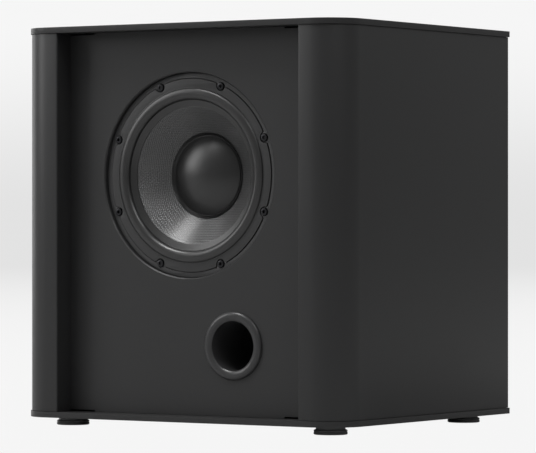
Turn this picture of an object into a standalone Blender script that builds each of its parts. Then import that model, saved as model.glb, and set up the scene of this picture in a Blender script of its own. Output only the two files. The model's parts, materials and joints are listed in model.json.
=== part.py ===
"""Active 8-inch bass-reflex subwoofer, built as its separate pieces.

Sizes are in millimetres and are turned into metres when a mesh is made.
World axes: +Z up, the baffle faces -Y, and the origin is below the middle of the
whole outline, on the surface that the feet stand on.
"""

import math

import bmesh
import bpy
from mathutils import Matrix, Vector

MM = 0.001
GAP = 0.3                      # clearance between two pieces that touch

# Cabinet
WIDTH = 396.0                  # over the top and bottom plates
DEPTH = 330.0
HEIGHT = 400.0                 # without the feet
PLATE = 6.0                    # thickness of the top and bottom plates
PLATE_CORNER = 37.0            # radius of the two front corners
OVERHANG = 1.2                 # plates stand out this far past the side panels
BOARD = 18.0                   # side, back, top and bottom boards
POST_WIDTH = 51.0              # rounded post beside the baffle, from the plate's edge
RECESS = 25.0                  # baffle face behind the front edge of the plates
BAFFLE = 25.0                  # baffle thickness
SLOT_IN = 116.0                # grille slots: inner and outer end, height and depth
SLOT_OUT = 149.5
SLOT_HEIGHT = 2.0
SLOT_DEPTH = 12.0
BRACE_PLACE = 150.0            # window brace behind the front edge of the plates

# Feet
FOOT_HEIGHT = 9.0
FOOT_RADIUS = 16.8
STEM_RADIUS = 14.7
SOLE_HEIGHT = 2.9
FOOT_X = 158.0
FOOT_FRONT = 44.0              # foot centre behind the front edge of the plates
FOOT_BACK = 27.0               # foot centre in front of their back edge

# Driver; depths are measured along its axis from the baffle face, positive outwards
DRIVER_Z = 247.6               # above the underside of the bottom plate
REBATE_RADIUS = 103.6
REBATE_DEPTH = 12.3
BAFFLE_HOLE = 91.2
FLANGE_RADIUS = 103.0
FLANGE_FACE = -7.5
RIM_FACE = -5.3                # raised rim of the flange round the trim ring
RIM_INNER = 98.2
HEAD_RECESS = 4.3              # radius of the recess in the rim round each screw's head
SCREW_CIRCLE = 96.3
SCREW_COUNT = 8
SPOKES = 6
TRIM_RADIUS = 97.3
TRIM_INNER = 88.6
TRIM_FACE = -4.0
NOTCH_RADIUS = 5.0
ROLL_OUTER = 88.0
ROLL_INNER = 76.0
ROLL_CREST = -1.0
CONE_EDGE = 69.7
CONE_EDGE_Z = -10.4
CONE_SLOPE = 0.9               # fall of the cone for each millimetre inwards
NECK_RADIUS = 25.7
CAP_RIM = 43.2
DOME_RADIUS = 39.7
DOME_BASE = -34.5
DOME_TOP = -21.5
DOME_RINGS = 5
POLE_RADIUS = 24.0
MAGNET_RADIUS = 60.0
PLATE_TOP_Z = -74.0
MAGNET_TOP_Z = -82.3
YOKE_TOP_Z = -102.0
YOKE_BACK_Z = -110.0

# Port
PORT_X = 55.0
PORT_Z = 76.6
PORT_BORE = 25.0
PORT_LIP = 34.3
PORT_PROUD = 3.5
PORT_END = -175.0              # inner end of the tube, from the baffle face

# Plate amplifier, seen from behind: X right, Y up, Z out from the plate's outer face
AMP_WIDTH = 200.0
AMP_HEIGHT = 260.0
AMP_PLATE = 3.0
AMP_CUTOUT = (176.0, 236.0)
AMP_BOX = (170.0, 230.0, 80.0)
KNOB_TOP = 13.3
LEVEL_AT = (-45.0, 80.0)
CROSSOVER_AT = (45.0, 80.0)
PHASE_AT = (-45.0, 24.0)
MODE_AT = (45.0, 24.0)
LED_AT = (0.0, 96.0)
JACKS_AT = ((-12.0, -24.0), (12.0, -24.0))
INLET_AT = (-40.0, -86.0)
ROCKER_AT = (45.0, -86.0)
ROCKER_TILT = math.radians(8.0)
PHASE_TRAVEL = 3.0
MODE_TRAVEL = 6.0

# Derived places
REAR_REACH = GAP + AMP_PLATE + KNOB_TOP - OVERHANG
FRONT_Y = -(DEPTH + REAR_REACH) / 2
BAFFLE_Y = FRONT_Y + RECESS
BACK_FACE_Y = FRONT_Y + DEPTH - OVERHANG
PANEL_LOW = FOOT_HEIGHT + PLATE + GAP
PANEL_HIGH = FOOT_HEIGHT + HEIGHT - PLATE - GAP
INNER_X = WIDTH / 2 - OVERHANG - BOARD - GAP
PLATE_MID_Z = FOOT_HEIGHT + HEIGHT / 2

RIM_STEPS = 32
MOTOR_STEPS = 24
SMALL_STEPS = 16


# ---------------------------------------------------------------- scene helpers
def clear_scene():
    for obj in list(bpy.data.objects):
        bpy.data.objects.remove(obj, do_unlink=True)


def new_collection(name):
    collection = bpy.data.collections.new(name)
    bpy.context.scene.collection.children.link(collection)
    return collection


def finish(name, colour, roughness, metallic=0.0):
    """Principled material, made once for each name."""
    material = bpy.data.materials.get(name)
    if material is None:
        material = bpy.data.materials.new(name)
        material.use_nodes = True
        shader = material.node_tree.nodes["Principled BSDF"]
        shader.inputs["Base Color"].default_value = (*colour, 1.0)
        shader.inputs["Roughness"].default_value = roughness
        shader.inputs["Metallic"].default_value = metallic
    return material


def place(obj, at=(0, 0, 0), turn=(0, 0, 0), parent=None):
    obj.location = Vector(at) * MM
    obj.rotation_euler = turn
    obj.parent = parent
    return obj


def add_object(name, mesh, material, at=(0, 0, 0), turn=(0, 0, 0), parent=None):
    """Put a finished mesh in the parts collection under its own name."""
    obj = bpy.data.objects.new(name, mesh)
    parts.objects.link(obj)
    mesh.materials.append(material)
    return place(obj, at, turn, parent)


def make_cutter(obj):
    """Move an object to the cutters, where the build leaves it out."""
    parts.objects.unlink(obj)
    cutters.objects.link(obj)
    obj.hide_render = True
    obj.display_type = "WIRE"
    return obj


def cut(target, cutter, operation="DIFFERENCE"):
    modifier = target.modifiers.new(cutter.name, "BOOLEAN")
    modifier.operation = operation
    modifier.solver = "EXACT"
    modifier.object = cutter
    return modifier


def soften(obj, width, segments=1, angle=40.0):
    """Bevel the sharp edges of a piece."""
    modifier = obj.modifiers.new("edges", "BEVEL")
    modifier.width = width * MM
    modifier.segments = segments
    modifier.limit_method = "ANGLE"
    modifier.angle_limit = math.radians(angle)
    return modifier


def pivot(name, at, turn=(0, 0, 0), parent=None):
    empty = bpy.data.objects.new(name, None)
    parts.objects.link(empty)
    return place(empty, at, turn, parent)


def baked_mesh(obj):
    """Evaluated mesh of an object, with its own corners merged."""
    bpy.context.view_layer.update()
    graph = bpy.context.evaluated_depsgraph_get()
    mesh = bpy.data.meshes.new_from_object(obj.evaluated_get(graph))
    work = bmesh.new()
    work.from_mesh(mesh)
    bmesh.ops.remove_doubles(work, verts=work.verts, dist=0.00001)
    bmesh.ops.recalc_face_normals(work, faces=work.faces)
    work.to_mesh(mesh)
    work.free()
    mesh.materials.clear()
    return mesh


def frozen(obj, material):
    """Turn a curve or a modified object into a plain mesh object of the same name."""
    mesh = baked_mesh(obj)
    name, matrix, parent = obj.name, obj.matrix_world.copy(), obj.parent
    bpy.data.objects.remove(obj, do_unlink=True)
    solid = add_object(name, mesh, material, parent=parent)
    solid.matrix_world = matrix
    return solid


# --------------------------------------------------------------- shape helpers
def box(name, low, high, material, parent=None):
    """Block between two corners."""
    low, high = Vector(low), Vector(high)
    mesh = bpy.data.meshes.new(name)
    work = bmesh.new()
    bmesh.ops.create_cube(work, size=1.0)
    bmesh.ops.scale(work, vec=(high - low) * MM, verts=work.verts)
    work.to_mesh(mesh)
    work.free()
    return add_object(name, mesh, material, at=(low + high) / 2, parent=parent)


def cylinder(name, radius, low, high, material, at=(0, 0), steps=SMALL_STEPS, parent=None):
    """Upright cylinder between two heights of its parent's frame."""
    mesh = bpy.data.meshes.new(name)
    work = bmesh.new()
    bmesh.ops.create_cone(
        work, cap_ends=True, segments=steps,
        radius1=radius * MM, radius2=radius * MM, depth=(high - low) * MM,
    )
    work.to_mesh(mesh)
    work.free()
    return add_object(name, mesh, material, at=(*at, (low + high) / 2), parent=parent)


def turned(name, profile, material, steps, at=(0, 0, 0), parent=None, closed=True):
    """Turn (radius, height) points about Z; the outer side runs from top to bottom."""
    mesh = bpy.data.meshes.new(name)
    points = [(radius * MM, 0.0, height * MM) for radius, height in profile]
    edges = [(index, index + 1) for index in range(len(points) - 1)]
    if closed:
        edges.append((len(points) - 1, 0))
    mesh.from_pydata(points, edges, [])
    obj = add_object(name, mesh, material, at=at, parent=parent)
    screw = obj.modifiers.new("turn", "SCREW")
    screw.axis = "Z"
    screw.angle = math.tau
    screw.steps = steps
    screw.render_steps = steps
    screw.use_merge_vertices = True
    screw.merge_threshold = 0.00001
    screw.use_smooth_shade = False
    return obj


def outline_solid(name, outline, low, high, material, parent=None, turn=(0, 0, 0)):
    """Flat closed outline in XY, raised from one height to the other."""
    curve = bpy.data.curves.new(name, "CURVE")
    curve.dimensions = "2D"
    curve.fill_mode = "BOTH"
    curve.extrude = (high - low) / 2 * MM
    spline = curve.splines.new("POLY")
    spline.points.add(len(outline) - 1)
    for point, (x, y) in zip(spline.points, outline):
        point.co = (x * MM, y * MM, 0.0, 1.0)
    spline.use_cyclic_u = True
    obj = bpy.data.objects.new(name, curve)
    parts.objects.link(obj)
    place(obj, (0, 0, (low + high) / 2), turn, parent)
    return frozen(obj, material)


def wire(name, route, radius, material, parent=None, between=5):
    """Round lead along a smooth curve through the route's points."""
    points = smooth_route([Vector(point) for point in route], between)
    curve = bpy.data.curves.new(name, "CURVE")
    curve.dimensions = "3D"
    curve.bevel_depth = radius * MM
    curve.bevel_resolution = 1
    curve.use_fill_caps = True
    spline = curve.splines.new("POLY")
    spline.points.add(len(points) - 1)
    for point, co in zip(spline.points, points):
        point.co = (*(co * MM), 1.0)
    obj = bpy.data.objects.new(name, curve)
    parts.objects.link(obj)
    place(obj, parent=parent)
    return frozen(obj, material)


def smooth_route(points, between):
    """Catmull-Rom curve with a few points between each pair."""
    ends = [points[0] * 2 - points[1], *points, points[-1] * 2 - points[-2]]
    route = []
    for a, b, c, d in zip(ends, ends[1:], ends[2:], ends[3:]):
        for index in range(between):
            t = index / between
            route.append(0.5 * (
                2 * b + (c - a) * t
                + (2 * a - 5 * b + 4 * c - d) * t ** 2
                + (3 * b - a - 3 * c + d) * t ** 3
            ))
    route.append(points[-1])
    return route


def arc(centre, radius, start, end, steps):
    """Points of an arc, angles in degrees."""
    points = []
    for index in range(steps + 1):
        angle = math.radians(start + (end - start) * index / steps)
        points.append((centre[0] + radius * math.cos(angle), centre[1] + radius * math.sin(angle)))
    return points


def pattern(name, template, places, parent=None):
    """One cutter of several separate, identical bodies; the template is used up."""
    mesh = baked_mesh(template)
    material = template.data.materials[0]
    bpy.data.objects.remove(template, do_unlink=True)
    work = bmesh.new()
    for matrix in places:
        copy = mesh.copy()
        copy.transform(matrix)
        work.from_mesh(copy)
        bpy.data.meshes.remove(copy)
    whole = bpy.data.meshes.new(name)
    work.to_mesh(whole)
    work.free()
    bpy.data.meshes.remove(mesh)
    return make_cutter(add_object(name, whole, material, parent=parent))


def shifted(x, y, z=0.0):
    return Matrix.Translation(Vector((x, y, z)) * MM)


def screw_places():
    """Centres of the driver's screws, across its axis."""
    angles = [math.tau * (index + 0.5) / SCREW_COUNT for index in range(SCREW_COUNT)]
    return [(SCREW_CIRCLE * math.cos(angle), SCREW_CIRCLE * math.sin(angle)) for angle in angles]


# --------------------------------------------------------------------- cabinet
def plate_outline():
    """Plate seen from above, with two round front corners."""
    half = WIDTH / 2
    back = FRONT_Y + DEPTH
    corner_y = FRONT_Y + PLATE_CORNER
    left = arc((-half + PLATE_CORNER, corner_y), PLATE_CORNER, 180, 270, 10)
    right = arc((half - PLATE_CORNER, corner_y), PLATE_CORNER, 270, 360, 10)
    return [(-half, back), *left, *right, (half, back)]


def side_outline(side):
    """Side panel with its rounded front post, seen from above."""
    outer = WIDTH / 2 - OVERHANG
    radius = PLATE_CORNER - OVERHANG
    front = FRONT_Y + OVERHANG
    post = WIDTH / 2 - POST_WIDTH
    easing = 1.5
    points = [(outer, BACK_FACE_Y)]
    points += reversed(arc((outer - radius, front + radius), radius, -90, 0, 9))
    points += reversed(arc((post + easing, front + easing), easing, 180, 270, 3))
    points += [(post, BAFFLE_Y - GAP), (outer - BOARD, BAFFLE_Y - GAP), (outer - BOARD, BACK_FACE_Y)]
    return [(side * x, y) for x, y in points]


def foot_places():
    front = FRONT_Y + FOOT_FRONT
    back = FRONT_Y + DEPTH - FOOT_BACK
    return {
        "front_left": (-FOOT_X, front, 0.0),
        "front_right": (FOOT_X, front, 0.0),
        "back_left": (-FOOT_X, back, 0.0),
        "back_right": (FOOT_X, back, 0.0),
    }


def make_cabinet():
    lacquer = finish("satin_black_lacquer", (0.030, 0.030, 0.032), 0.42)
    baffle_paint = finish("baffle_paint", (0.022, 0.022, 0.023), 0.5)
    raw_board = finish("raw_fibreboard", (0.30, 0.19, 0.10), 0.85)

    top = FOOT_HEIGHT + HEIGHT
    inner_front = BAFFLE_Y + BAFFLE + GAP
    inner_back = BACK_FACE_Y - BOARD - GAP
    for name, low, core_low in (
        ("bottom_plate", FOOT_HEIGHT, FOOT_HEIGHT + PLATE - 1),
        ("top_plate", top - PLATE, top - PLATE - BOARD),
    ):
        plate = outline_solid(name, plate_outline(), low, low + PLATE, lacquer)
        core = box(f"{name}_core", (-INNER_X, inner_front, core_low),
                   (INNER_X, inner_back, core_low + BOARD + 1), lacquer)
        cut(plate, make_cutter(core), "UNION")
        soften(plate, 0.6, angle=60.0)
    for side, name in ((-1, "left_side_panel"), (1, "right_side_panel")):
        panel = outline_solid(name, side_outline(side), PANEL_LOW, PANEL_HIGH, lacquer)
        soften(panel, 0.8, angle=60.0)

    make_baffle(baffle_paint)
    make_back_panel(raw_board)
    make_brace(raw_board)


def make_baffle(material):
    baffle = box("baffle", (-INNER_X, BAFFLE_Y, PANEL_LOW), (INNER_X, BAFFLE_Y + BAFFLE, PANEL_HIGH),
                 material)
    chamfer = 0.8
    driver_profile = [
        (0, 2), (REBATE_RADIUS + chamfer + 2, 2), (REBATE_RADIUS + chamfer, 0.0),
        (REBATE_RADIUS, -chamfer), (REBATE_RADIUS, -REBATE_DEPTH), (BAFFLE_HOLE, -REBATE_DEPTH),
        (BAFFLE_HOLE, -BAFFLE - 2), (0, -BAFFLE - 2),
    ]
    cut(baffle, make_cutter(turned("driver_cutout", driver_profile, material, 48,
                                   parent=driver_axis)))
    cut(baffle, make_cutter(cylinder("port_cutout", 28.6, -BAFFLE - 2, 2, material,
                                     steps=RIM_STEPS, parent=port_axis)))
    drill = cylinder("driver_screw_drill", 2.3, -8, 8, material, steps=8)
    middle = -BAFFLE + 6
    cut(baffle, pattern("driver_screw_holes", drill, [
        shifted(x, y, middle) for x, y in screw_places()], parent=driver_axis))
    for side in (-1, 1):
        for name, low, high in (
            ("low", PANEL_LOW - 1, PANEL_LOW + SLOT_HEIGHT - GAP),
            ("high", PANEL_HIGH - SLOT_HEIGHT + GAP, PANEL_HIGH + 1),
        ):
            ends = sorted((side * SLOT_IN, side * SLOT_OUT))
            slot = box(f"grille_slot_{name}_{'left' if side < 0 else 'right'}",
                       (ends[0], BAFFLE_Y - 2, low), (ends[1], BAFFLE_Y + SLOT_DEPTH, high), material)
            cut(baffle, make_cutter(slot))


def make_back_panel(material):
    panel = box("back_panel", (-INNER_X, BACK_FACE_Y - BOARD, PANEL_LOW),
                (INNER_X, BACK_FACE_Y, PANEL_HIGH), material)
    half_x, half_z = AMP_CUTOUT[0] / 2, AMP_CUTOUT[1] / 2
    cut(panel, make_cutter(box("amplifier_cutout",
                               (-half_x, BACK_FACE_Y - BOARD - 2, PLATE_MID_Z - half_z),
                               (half_x, BACK_FACE_Y + 2, PLATE_MID_Z + half_z), material)))
    soften(panel, 0.8, angle=60.0)


def make_brace(material):
    front = FRONT_Y + BRACE_PLACE
    brace = box("window_brace", (-INNER_X, front, PANEL_LOW + BOARD + GAP),
                (INNER_X, front + BOARD, PANEL_HIGH - BOARD - GAP), material)
    window = outline_solid("brace_window", rounded_rectangle(250.0, 190.0, 40.0), -10, BOARD + 10,
                           material)
    place(window, (0, front + BOARD / 2, FOOT_HEIGHT + DRIVER_Z - 5), (math.pi / 2, 0, 0))
    make_cutter(window)
    cut(brace, window)
    cut(brace, make_cutter(cylinder("brace_port_hole", 29.6, -175, -100, material,
                                    steps=RIM_STEPS, parent=port_axis)))


def rounded_rectangle(width, height, radius, steps=4):
    x, y = width / 2 - radius, height / 2 - radius
    points = []
    for centre, start in (((x, y), 0), ((-x, y), 90), ((-x, -y), 180), ((x, -y), 270)):
        points += arc(centre, radius, start, start + 90, steps)
    return points


# ------------------------------------------------------------------------ feet
def make_feet():
    """Turned feet, each with a screw recess below and a groove above its sole."""
    moulding = finish("foot_moulding", (0.02, 0.02, 0.021), 0.45)
    stem_top = FOOT_HEIGHT - GAP
    groove = 0.5
    foot_profile = [
        (STEM_RADIUS, stem_top), (STEM_RADIUS, 5.4), (FOOT_RADIUS, 4.4), (FOOT_RADIUS, SOLE_HEIGHT + groove),
        (FOOT_RADIUS - 0.8, SOLE_HEIGHT + groove), (FOOT_RADIUS - 0.8, SOLE_HEIGHT),
        (FOOT_RADIUS, SOLE_HEIGHT), (FOOT_RADIUS, 0.6), (FOOT_RADIUS - 0.6, 0.0), (5.4, 0.0),
        (5.4, 6.0), (2.5, 6.0), (2.5, stem_top),
    ]
    for name, (x, y, z) in foot_places().items():
        turned(f"foot_{name}", foot_profile, moulding, SMALL_STEPS, at=(x, y, 0))


# ------------------------------------------------------------------------ port
def make_port():
    moulding = finish("port_moulding", (0.018, 0.018, 0.019), 0.35)
    card = finish("port_tube_black", (0.02, 0.02, 0.02), 0.7)
    middle = (PORT_BORE + PORT_LIP) / 2
    reach = (PORT_LIP - PORT_BORE) / 2
    crest = PORT_PROUD
    outer_bend = [
        (middle + reach * math.sin(angle), GAP + (crest - GAP) * math.cos(angle))
        for angle in (math.radians(90 * index / 4) for index in range(5))
    ]
    inner_bend = [
        (middle - reach * math.cos(angle), -5.0 + (crest + 5.0) * math.sin(angle))
        for angle in (math.radians(90 * index / 5) for index in range(5))
    ]
    mouth_profile = [
        *outer_bend, (28.2, GAP), (28.2, -30.0), (26.7, -30.3), (26.7, -50.0), (PORT_BORE, -50.0),
        *inner_bend,
    ]
    turned("port_mouth", mouth_profile, moulding, RIM_STEPS, parent=port_axis)
    tube_profile = [(29.0, -30.7), (29.0, PORT_END), (27.1, PORT_END), (27.1, -30.7)]
    turned("port_tube", tube_profile, card, RIM_STEPS, parent=port_axis)


# ---------------------------------------------------------------------- driver
def cone_height(radius):
    """Front surface of the cone at a radius."""
    return CONE_EDGE_Z - (CONE_EDGE - radius) * CONE_SLOPE


def make_basket():
    casting = finish("driver_casting", (0.025, 0.025, 0.026), 0.5, 0.3)
    profile = [
        (RIM_INNER, FLANGE_FACE), (RIM_INNER, RIM_FACE), (FLANGE_RADIUS, RIM_FACE),
        (FLANGE_RADIUS, -12.0), (90.4, -12.0), (88.0, -17.0),
        (66.0, -50.0), (66.0, -60.0), (58.0, PLATE_TOP_Z + GAP),
        (29.5, PLATE_TOP_Z + GAP), (29.5, -70.5), (54.5, -70.5), (58.0, -60.0), (58.0, -56.0),
        (63.0, -56.0), (63.0, -51.0), (84.8, -17.5), (86.2, -12.0), (86.2, FLANGE_FACE),
    ]
    basket = turned("driver_basket", profile, casting, RIM_STEPS, parent=driver_axis)
    drill = cylinder("flange_drill", 2.3, -6, 6, casting, steps=8)
    cut(basket, pattern("flange_holes", drill, [
        shifted(x, y, -10.0) for x, y in screw_places()], parent=driver_axis))
    recess = cylinder("head_recess_drill", HEAD_RECESS, FLANGE_FACE, 0, casting, steps=12)
    cut(basket, pattern("head_recesses", recess, [
        shifted(x, y, FLANGE_FACE / 2) for x, y in screw_places()], parent=driver_axis))
    window = box("basket_window", (-30, -22, -13.5), (30, 22, 13.5), casting)
    spokes = [math.tau * index / SPOKES - math.pi / 2 for index in range(SPOKES)]
    cut(basket, pattern("basket_windows", window, [
        Matrix.Rotation(angle, 4, "Z") @ shifted(70, 0, -33.5) for angle in spokes
    ], parent=driver_axis))


def make_trim_ring():
    rubber = finish("trim_rubber", (0.03, 0.03, 0.03), 0.6)
    profile = [
        (TRIM_RADIUS, TRIM_FACE), (TRIM_RADIUS, FLANGE_FACE + GAP), (91.4, FLANGE_FACE + GAP),
        (91.4, TRIM_FACE - 2.1), (TRIM_INNER, TRIM_FACE - 2.1), (TRIM_INNER, TRIM_FACE),
    ]
    ring = turned("trim_ring", profile, rubber, 48, parent=driver_axis)
    drill = cylinder("notch_drill", NOTCH_RADIUS, -6, 6, rubber, steps=14)
    cut(ring, pattern("trim_notches", drill, [
        shifted(x, y, TRIM_FACE) for x, y in screw_places()], parent=driver_axis))


def make_driver_screws():
    steel = finish("black_steel", (0.03, 0.03, 0.032), 0.35, 1.0)
    seat = FLANGE_FACE + GAP
    top = seat + 3.7
    profile = [
        (0, top - 2.2), (1.8, top - 2.2), (1.8, top), (3.6, top), (3.6, seat), (1.95, seat),
        (1.95, -24.0), (0, -24.0),
    ]
    for number, (x, y) in enumerate(screw_places(), 1):
        turned(f"driver_screw_{number}", profile, steel, 10, at=(x, y, 0), parent=driver_axis,
               closed=False)


def make_surround():
    """Half roll between the trim ring and the cone, with a glue flange on each side."""
    rubber = finish("surround_rubber", (0.028, 0.028, 0.029), 0.38)
    wall = 0.8
    middle = (ROLL_OUTER + ROLL_INNER) / 2
    reach = (ROLL_OUTER - ROLL_INNER) / 2
    base = -6.6
    angles = [math.radians(180 * index / 6) for index in range(7)]
    outside = [(middle + reach * math.cos(a), base + (ROLL_CREST - base) * math.sin(a)) for a in angles]
    inside = [
        (middle + (reach - wall) * math.cos(a), base - wall + (ROLL_CREST - base) * math.sin(a))
        for a in angles
    ]
    profile = [
        *[(91.1, base + 0.2), (91.1, base - 0.55)], *inside,
        (CONE_EDGE, CONE_EDGE_Z + 0.3), (CONE_EDGE, CONE_EDGE_Z + 1.0), *reversed(outside),
    ]
    turned("surround", profile, rubber, RIM_STEPS, parent=driver_axis)


def make_cone():
    weave = finish("woven_cone", (0.05, 0.05, 0.052), 0.4)
    wall = 1.2
    rim = 75.4
    rim_height = -8.4
    profile = [
        (rim, rim_height), (rim, rim_height - 0.9), (CONE_EDGE, CONE_EDGE_Z - wall),
        (NECK_RADIUS + 1.6, cone_height(NECK_RADIUS + 1.6) - wall),
        (NECK_RADIUS + 1.6, cone_height(NECK_RADIUS) - wall - 2.0),
        (NECK_RADIUS, cone_height(NECK_RADIUS) - wall - 2.0),
        (NECK_RADIUS, cone_height(NECK_RADIUS)), (CONE_EDGE, CONE_EDGE_Z - 0.1),
    ]
    turned("cone", profile, weave, RIM_STEPS, parent=driver_axis)


def make_dust_cap():
    satin = finish("dust_cap_satin", (0.03, 0.03, 0.032), 0.35)
    wall = 0.8
    rise = DOME_TOP - DOME_BASE
    ball = (DOME_RADIUS ** 2 + rise ** 2) / (2 * rise)
    spread = math.asin(DOME_RADIUS / ball)
    outside = []
    inside = []
    for index in range(DOME_RINGS + 1):
        angle = spread * index / DOME_RINGS
        for points, radius, top in ((outside, ball, DOME_TOP), (inside, ball - wall, DOME_TOP - wall)):
            points.append((radius * math.sin(angle), top - radius * (1 - math.cos(angle))))
    inside[0] = (0.0, inside[0][1])
    outer_rim = [
        (40.4, cone_height(40.4) + 1.3), (42.2, cone_height(42.2) + 1.0),
        (CAP_RIM, cone_height(CAP_RIM) + 1.3), (CAP_RIM, cone_height(CAP_RIM) + 0.35),
        (40.2, cone_height(40.2) + 0.35),
    ]
    profile = [*outside, *outer_rim, *reversed(inside)]
    turned("dust_cap", profile, satin, RIM_STEPS, parent=driver_axis, closed=False)


def make_spider():
    cloth = finish("spider_cloth", (0.45, 0.33, 0.16), 0.9)
    middle = -54.9
    wall = 0.7
    waves = [(62.6, 0.0), (56.0, 0.0), (51.0, 1.6), (46.0, -1.6), (41.0, 1.6), (36.0, -1.6), (31.0, 0.4),
             (NECK_RADIUS + 0.1, 0.4)]
    upper = [(radius, middle + lift) for radius, lift in waves]
    lower = [(radius, middle - wall + lift) for radius, lift in waves]
    turned("spider", [upper[0], *lower, *reversed(upper[1:])], cloth, MOTOR_STEPS, parent=driver_axis)


def make_coil():
    film = finish("former_film", (0.55, 0.42, 0.22), 0.4)
    copper = finish("copper_wire", (0.72, 0.34, 0.18), 0.3, 1.0)
    turned("coil_former", [(25.3, -46.5), (25.3, -91.0), (24.9, -91.0), (24.9, -46.5)], film,
           MOTOR_STEPS, parent=driver_axis)
    turned("voice_coil", [(27.0, -66.0), (27.0, -90.0), (25.65, -90.0), (25.65, -66.0)], copper,
           MOTOR_STEPS, parent=driver_axis)


def make_motor():
    plating = finish("zinc_plated_steel", (0.55, 0.55, 0.56), 0.35, 1.0)
    ferrite = finish("ferrite", (0.06, 0.06, 0.065), 0.6)
    turned("front_pole_plate", [
        (56.0, PLATE_TOP_Z), (56.0, PLATE_TOP_Z - 8), (28.0, PLATE_TOP_Z - 8), (28.0, PLATE_TOP_Z),
    ], plating, MOTOR_STEPS, parent=driver_axis)
    turned("magnet", [
        (MAGNET_RADIUS, MAGNET_TOP_Z), (MAGNET_RADIUS, YOKE_TOP_Z + GAP), (32.0, YOKE_TOP_Z + GAP),
        (32.0, MAGNET_TOP_Z),
    ], ferrite, MOTOR_STEPS, parent=driver_axis)
    turned("pole_yoke", [
        (8.0, PLATE_TOP_Z + 1), (POLE_RADIUS, PLATE_TOP_Z + 1), (POLE_RADIUS, YOKE_TOP_Z),
        (56.0, YOKE_TOP_Z), (56.0, YOKE_BACK_Z), (8.0, YOKE_BACK_Z),
    ], plating, MOTOR_STEPS, parent=driver_axis)


def make_terminals():
    laminate = finish("terminal_laminate", (0.35, 0.20, 0.08), 0.7)
    braid = finish("tinsel_braid", (0.75, 0.60, 0.40), 0.4, 1.0)
    box("terminal_strip", (-11, -70.3, -61.0), (11, -66.4, -50.5), laminate, parent=driver_axis)
    for side, name in ((-1, "tinsel_lead_left"), (1, "tinsel_lead_right")):
        x = side * 6.0
        wire(name, [
            (x, -68.4, -49.4), (x, -68.0, -44.5), (x, -62.0, -40.5), (x, -53.0, -42.5),
            (x, -44.0, -43.5), (x, -37.5, cone_height(36.5) - 3.4),
        ], 0.7, braid, parent=driver_axis, between=2)


# ------------------------------------------------------------- plate amplifier
def amp_screw_places():
    x = AMP_WIDTH / 2 - 6
    y = AMP_HEIGHT / 2 - 6
    places = []
    for side in (-1, 1):
        places += [(side * x, side_y) for side_y in (-y, -y / 3, y / 3, y)]
        places.append((0.0, side * y))
    return places


def make_amp_plate():
    powder = finish("amp_plate_powder_coat", (0.02, 0.02, 0.02), 0.55)
    plate = outline_solid("amp_plate", rounded_rectangle(AMP_WIDTH, AMP_HEIGHT, 6.0, 3),
                          -AMP_PLATE, 0.0, powder, parent=None)
    plate.parent = amp_face
    plate.matrix_world = amp_face.matrix_world @ Matrix.Translation((0, 0, -AMP_PLATE / 2 * MM))
    holes = [
        ("inlet_hole", INLET_AT, (13.8, 15.8)), ("rocker_hole", ROCKER_AT, (6.8, 9.8)),
        ("phase_hole", PHASE_AT, (7.3, 3.8)), ("mode_hole", MODE_AT, (8.8, 3.8)),
    ]
    for name, (x, y), (reach_x, reach_y) in holes:
        cut(plate, make_cutter(box(name, (x - reach_x, y - reach_y, -10), (x + reach_x, y + reach_y, 10),
                                   powder, parent=amp_face)))
    rounds = [
        ("level_hole", LEVEL_AT, 4.8), ("crossover_hole", CROSSOVER_AT, 4.8), ("led_hole", LED_AT, 2.4),
        ("left_jack_hole", JACKS_AT[0], 4.6), ("right_jack_hole", JACKS_AT[1], 4.6),
    ]
    for name, centre, radius in rounds:
        cut(plate, make_cutter(cylinder(name, radius, -10, 10, powder, at=centre, steps=12,
                                        parent=amp_face)))
    drill = cylinder("plate_screw_drill", 2.2, -6, 6, powder, steps=8)
    cut(plate, pattern("plate_screw_holes", drill, [
        shifted(x, y) for x, y in amp_screw_places()], parent=amp_face))


def make_amp_inside():
    sheet = finish("folded_steel", (0.45, 0.45, 0.46), 0.4, 1.0)
    laminate = finish("circuit_board", (0.03, 0.16, 0.07), 0.5)
    winding = finish("transformer_tape", (0.55, 0.42, 0.10), 0.6)
    sleeve = finish("capacitor_sleeve", (0.03, 0.04, 0.10), 0.4)
    half_x, half_y, deep = AMP_BOX[0] / 2, AMP_BOX[1] / 2, AMP_BOX[2]
    top = -AMP_PLATE - GAP
    housing = box("amp_housing", (-half_x, -half_y, top - deep), (half_x, half_y, top), sheet,
                  parent=amp_face)
    cut(housing, make_cutter(box("housing_room", (-half_x + 1.5, -half_y + 1.5, top - deep + 1.5),
                                 (half_x - 1.5, half_y - 1.5, top + 5), sheet, parent=amp_face)))
    cut(housing, make_cutter(cylinder("lead_hole", 5.0, top - deep - 5, top - deep + 5, sheet,
                                      at=(0, 40), steps=12, parent=amp_face)))
    board_front = -30.0
    box("amp_board", (-70, -30, board_front - 1.6), (70, 100, board_front), laminate, parent=amp_face)
    turned("transformer", [
        (44, -34), (47, -37), (47, -57), (44, -60), (17, -60), (14, -57), (14, -37), (17, -34),
    ], winding, MOTOR_STEPS, at=(0, -62, 0), parent=amp_face)
    cylinder("filter_capacitor", 13.0, board_front - 38, board_front - 2, sleeve, at=(-34, 62), steps=14,
             parent=amp_face)


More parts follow.
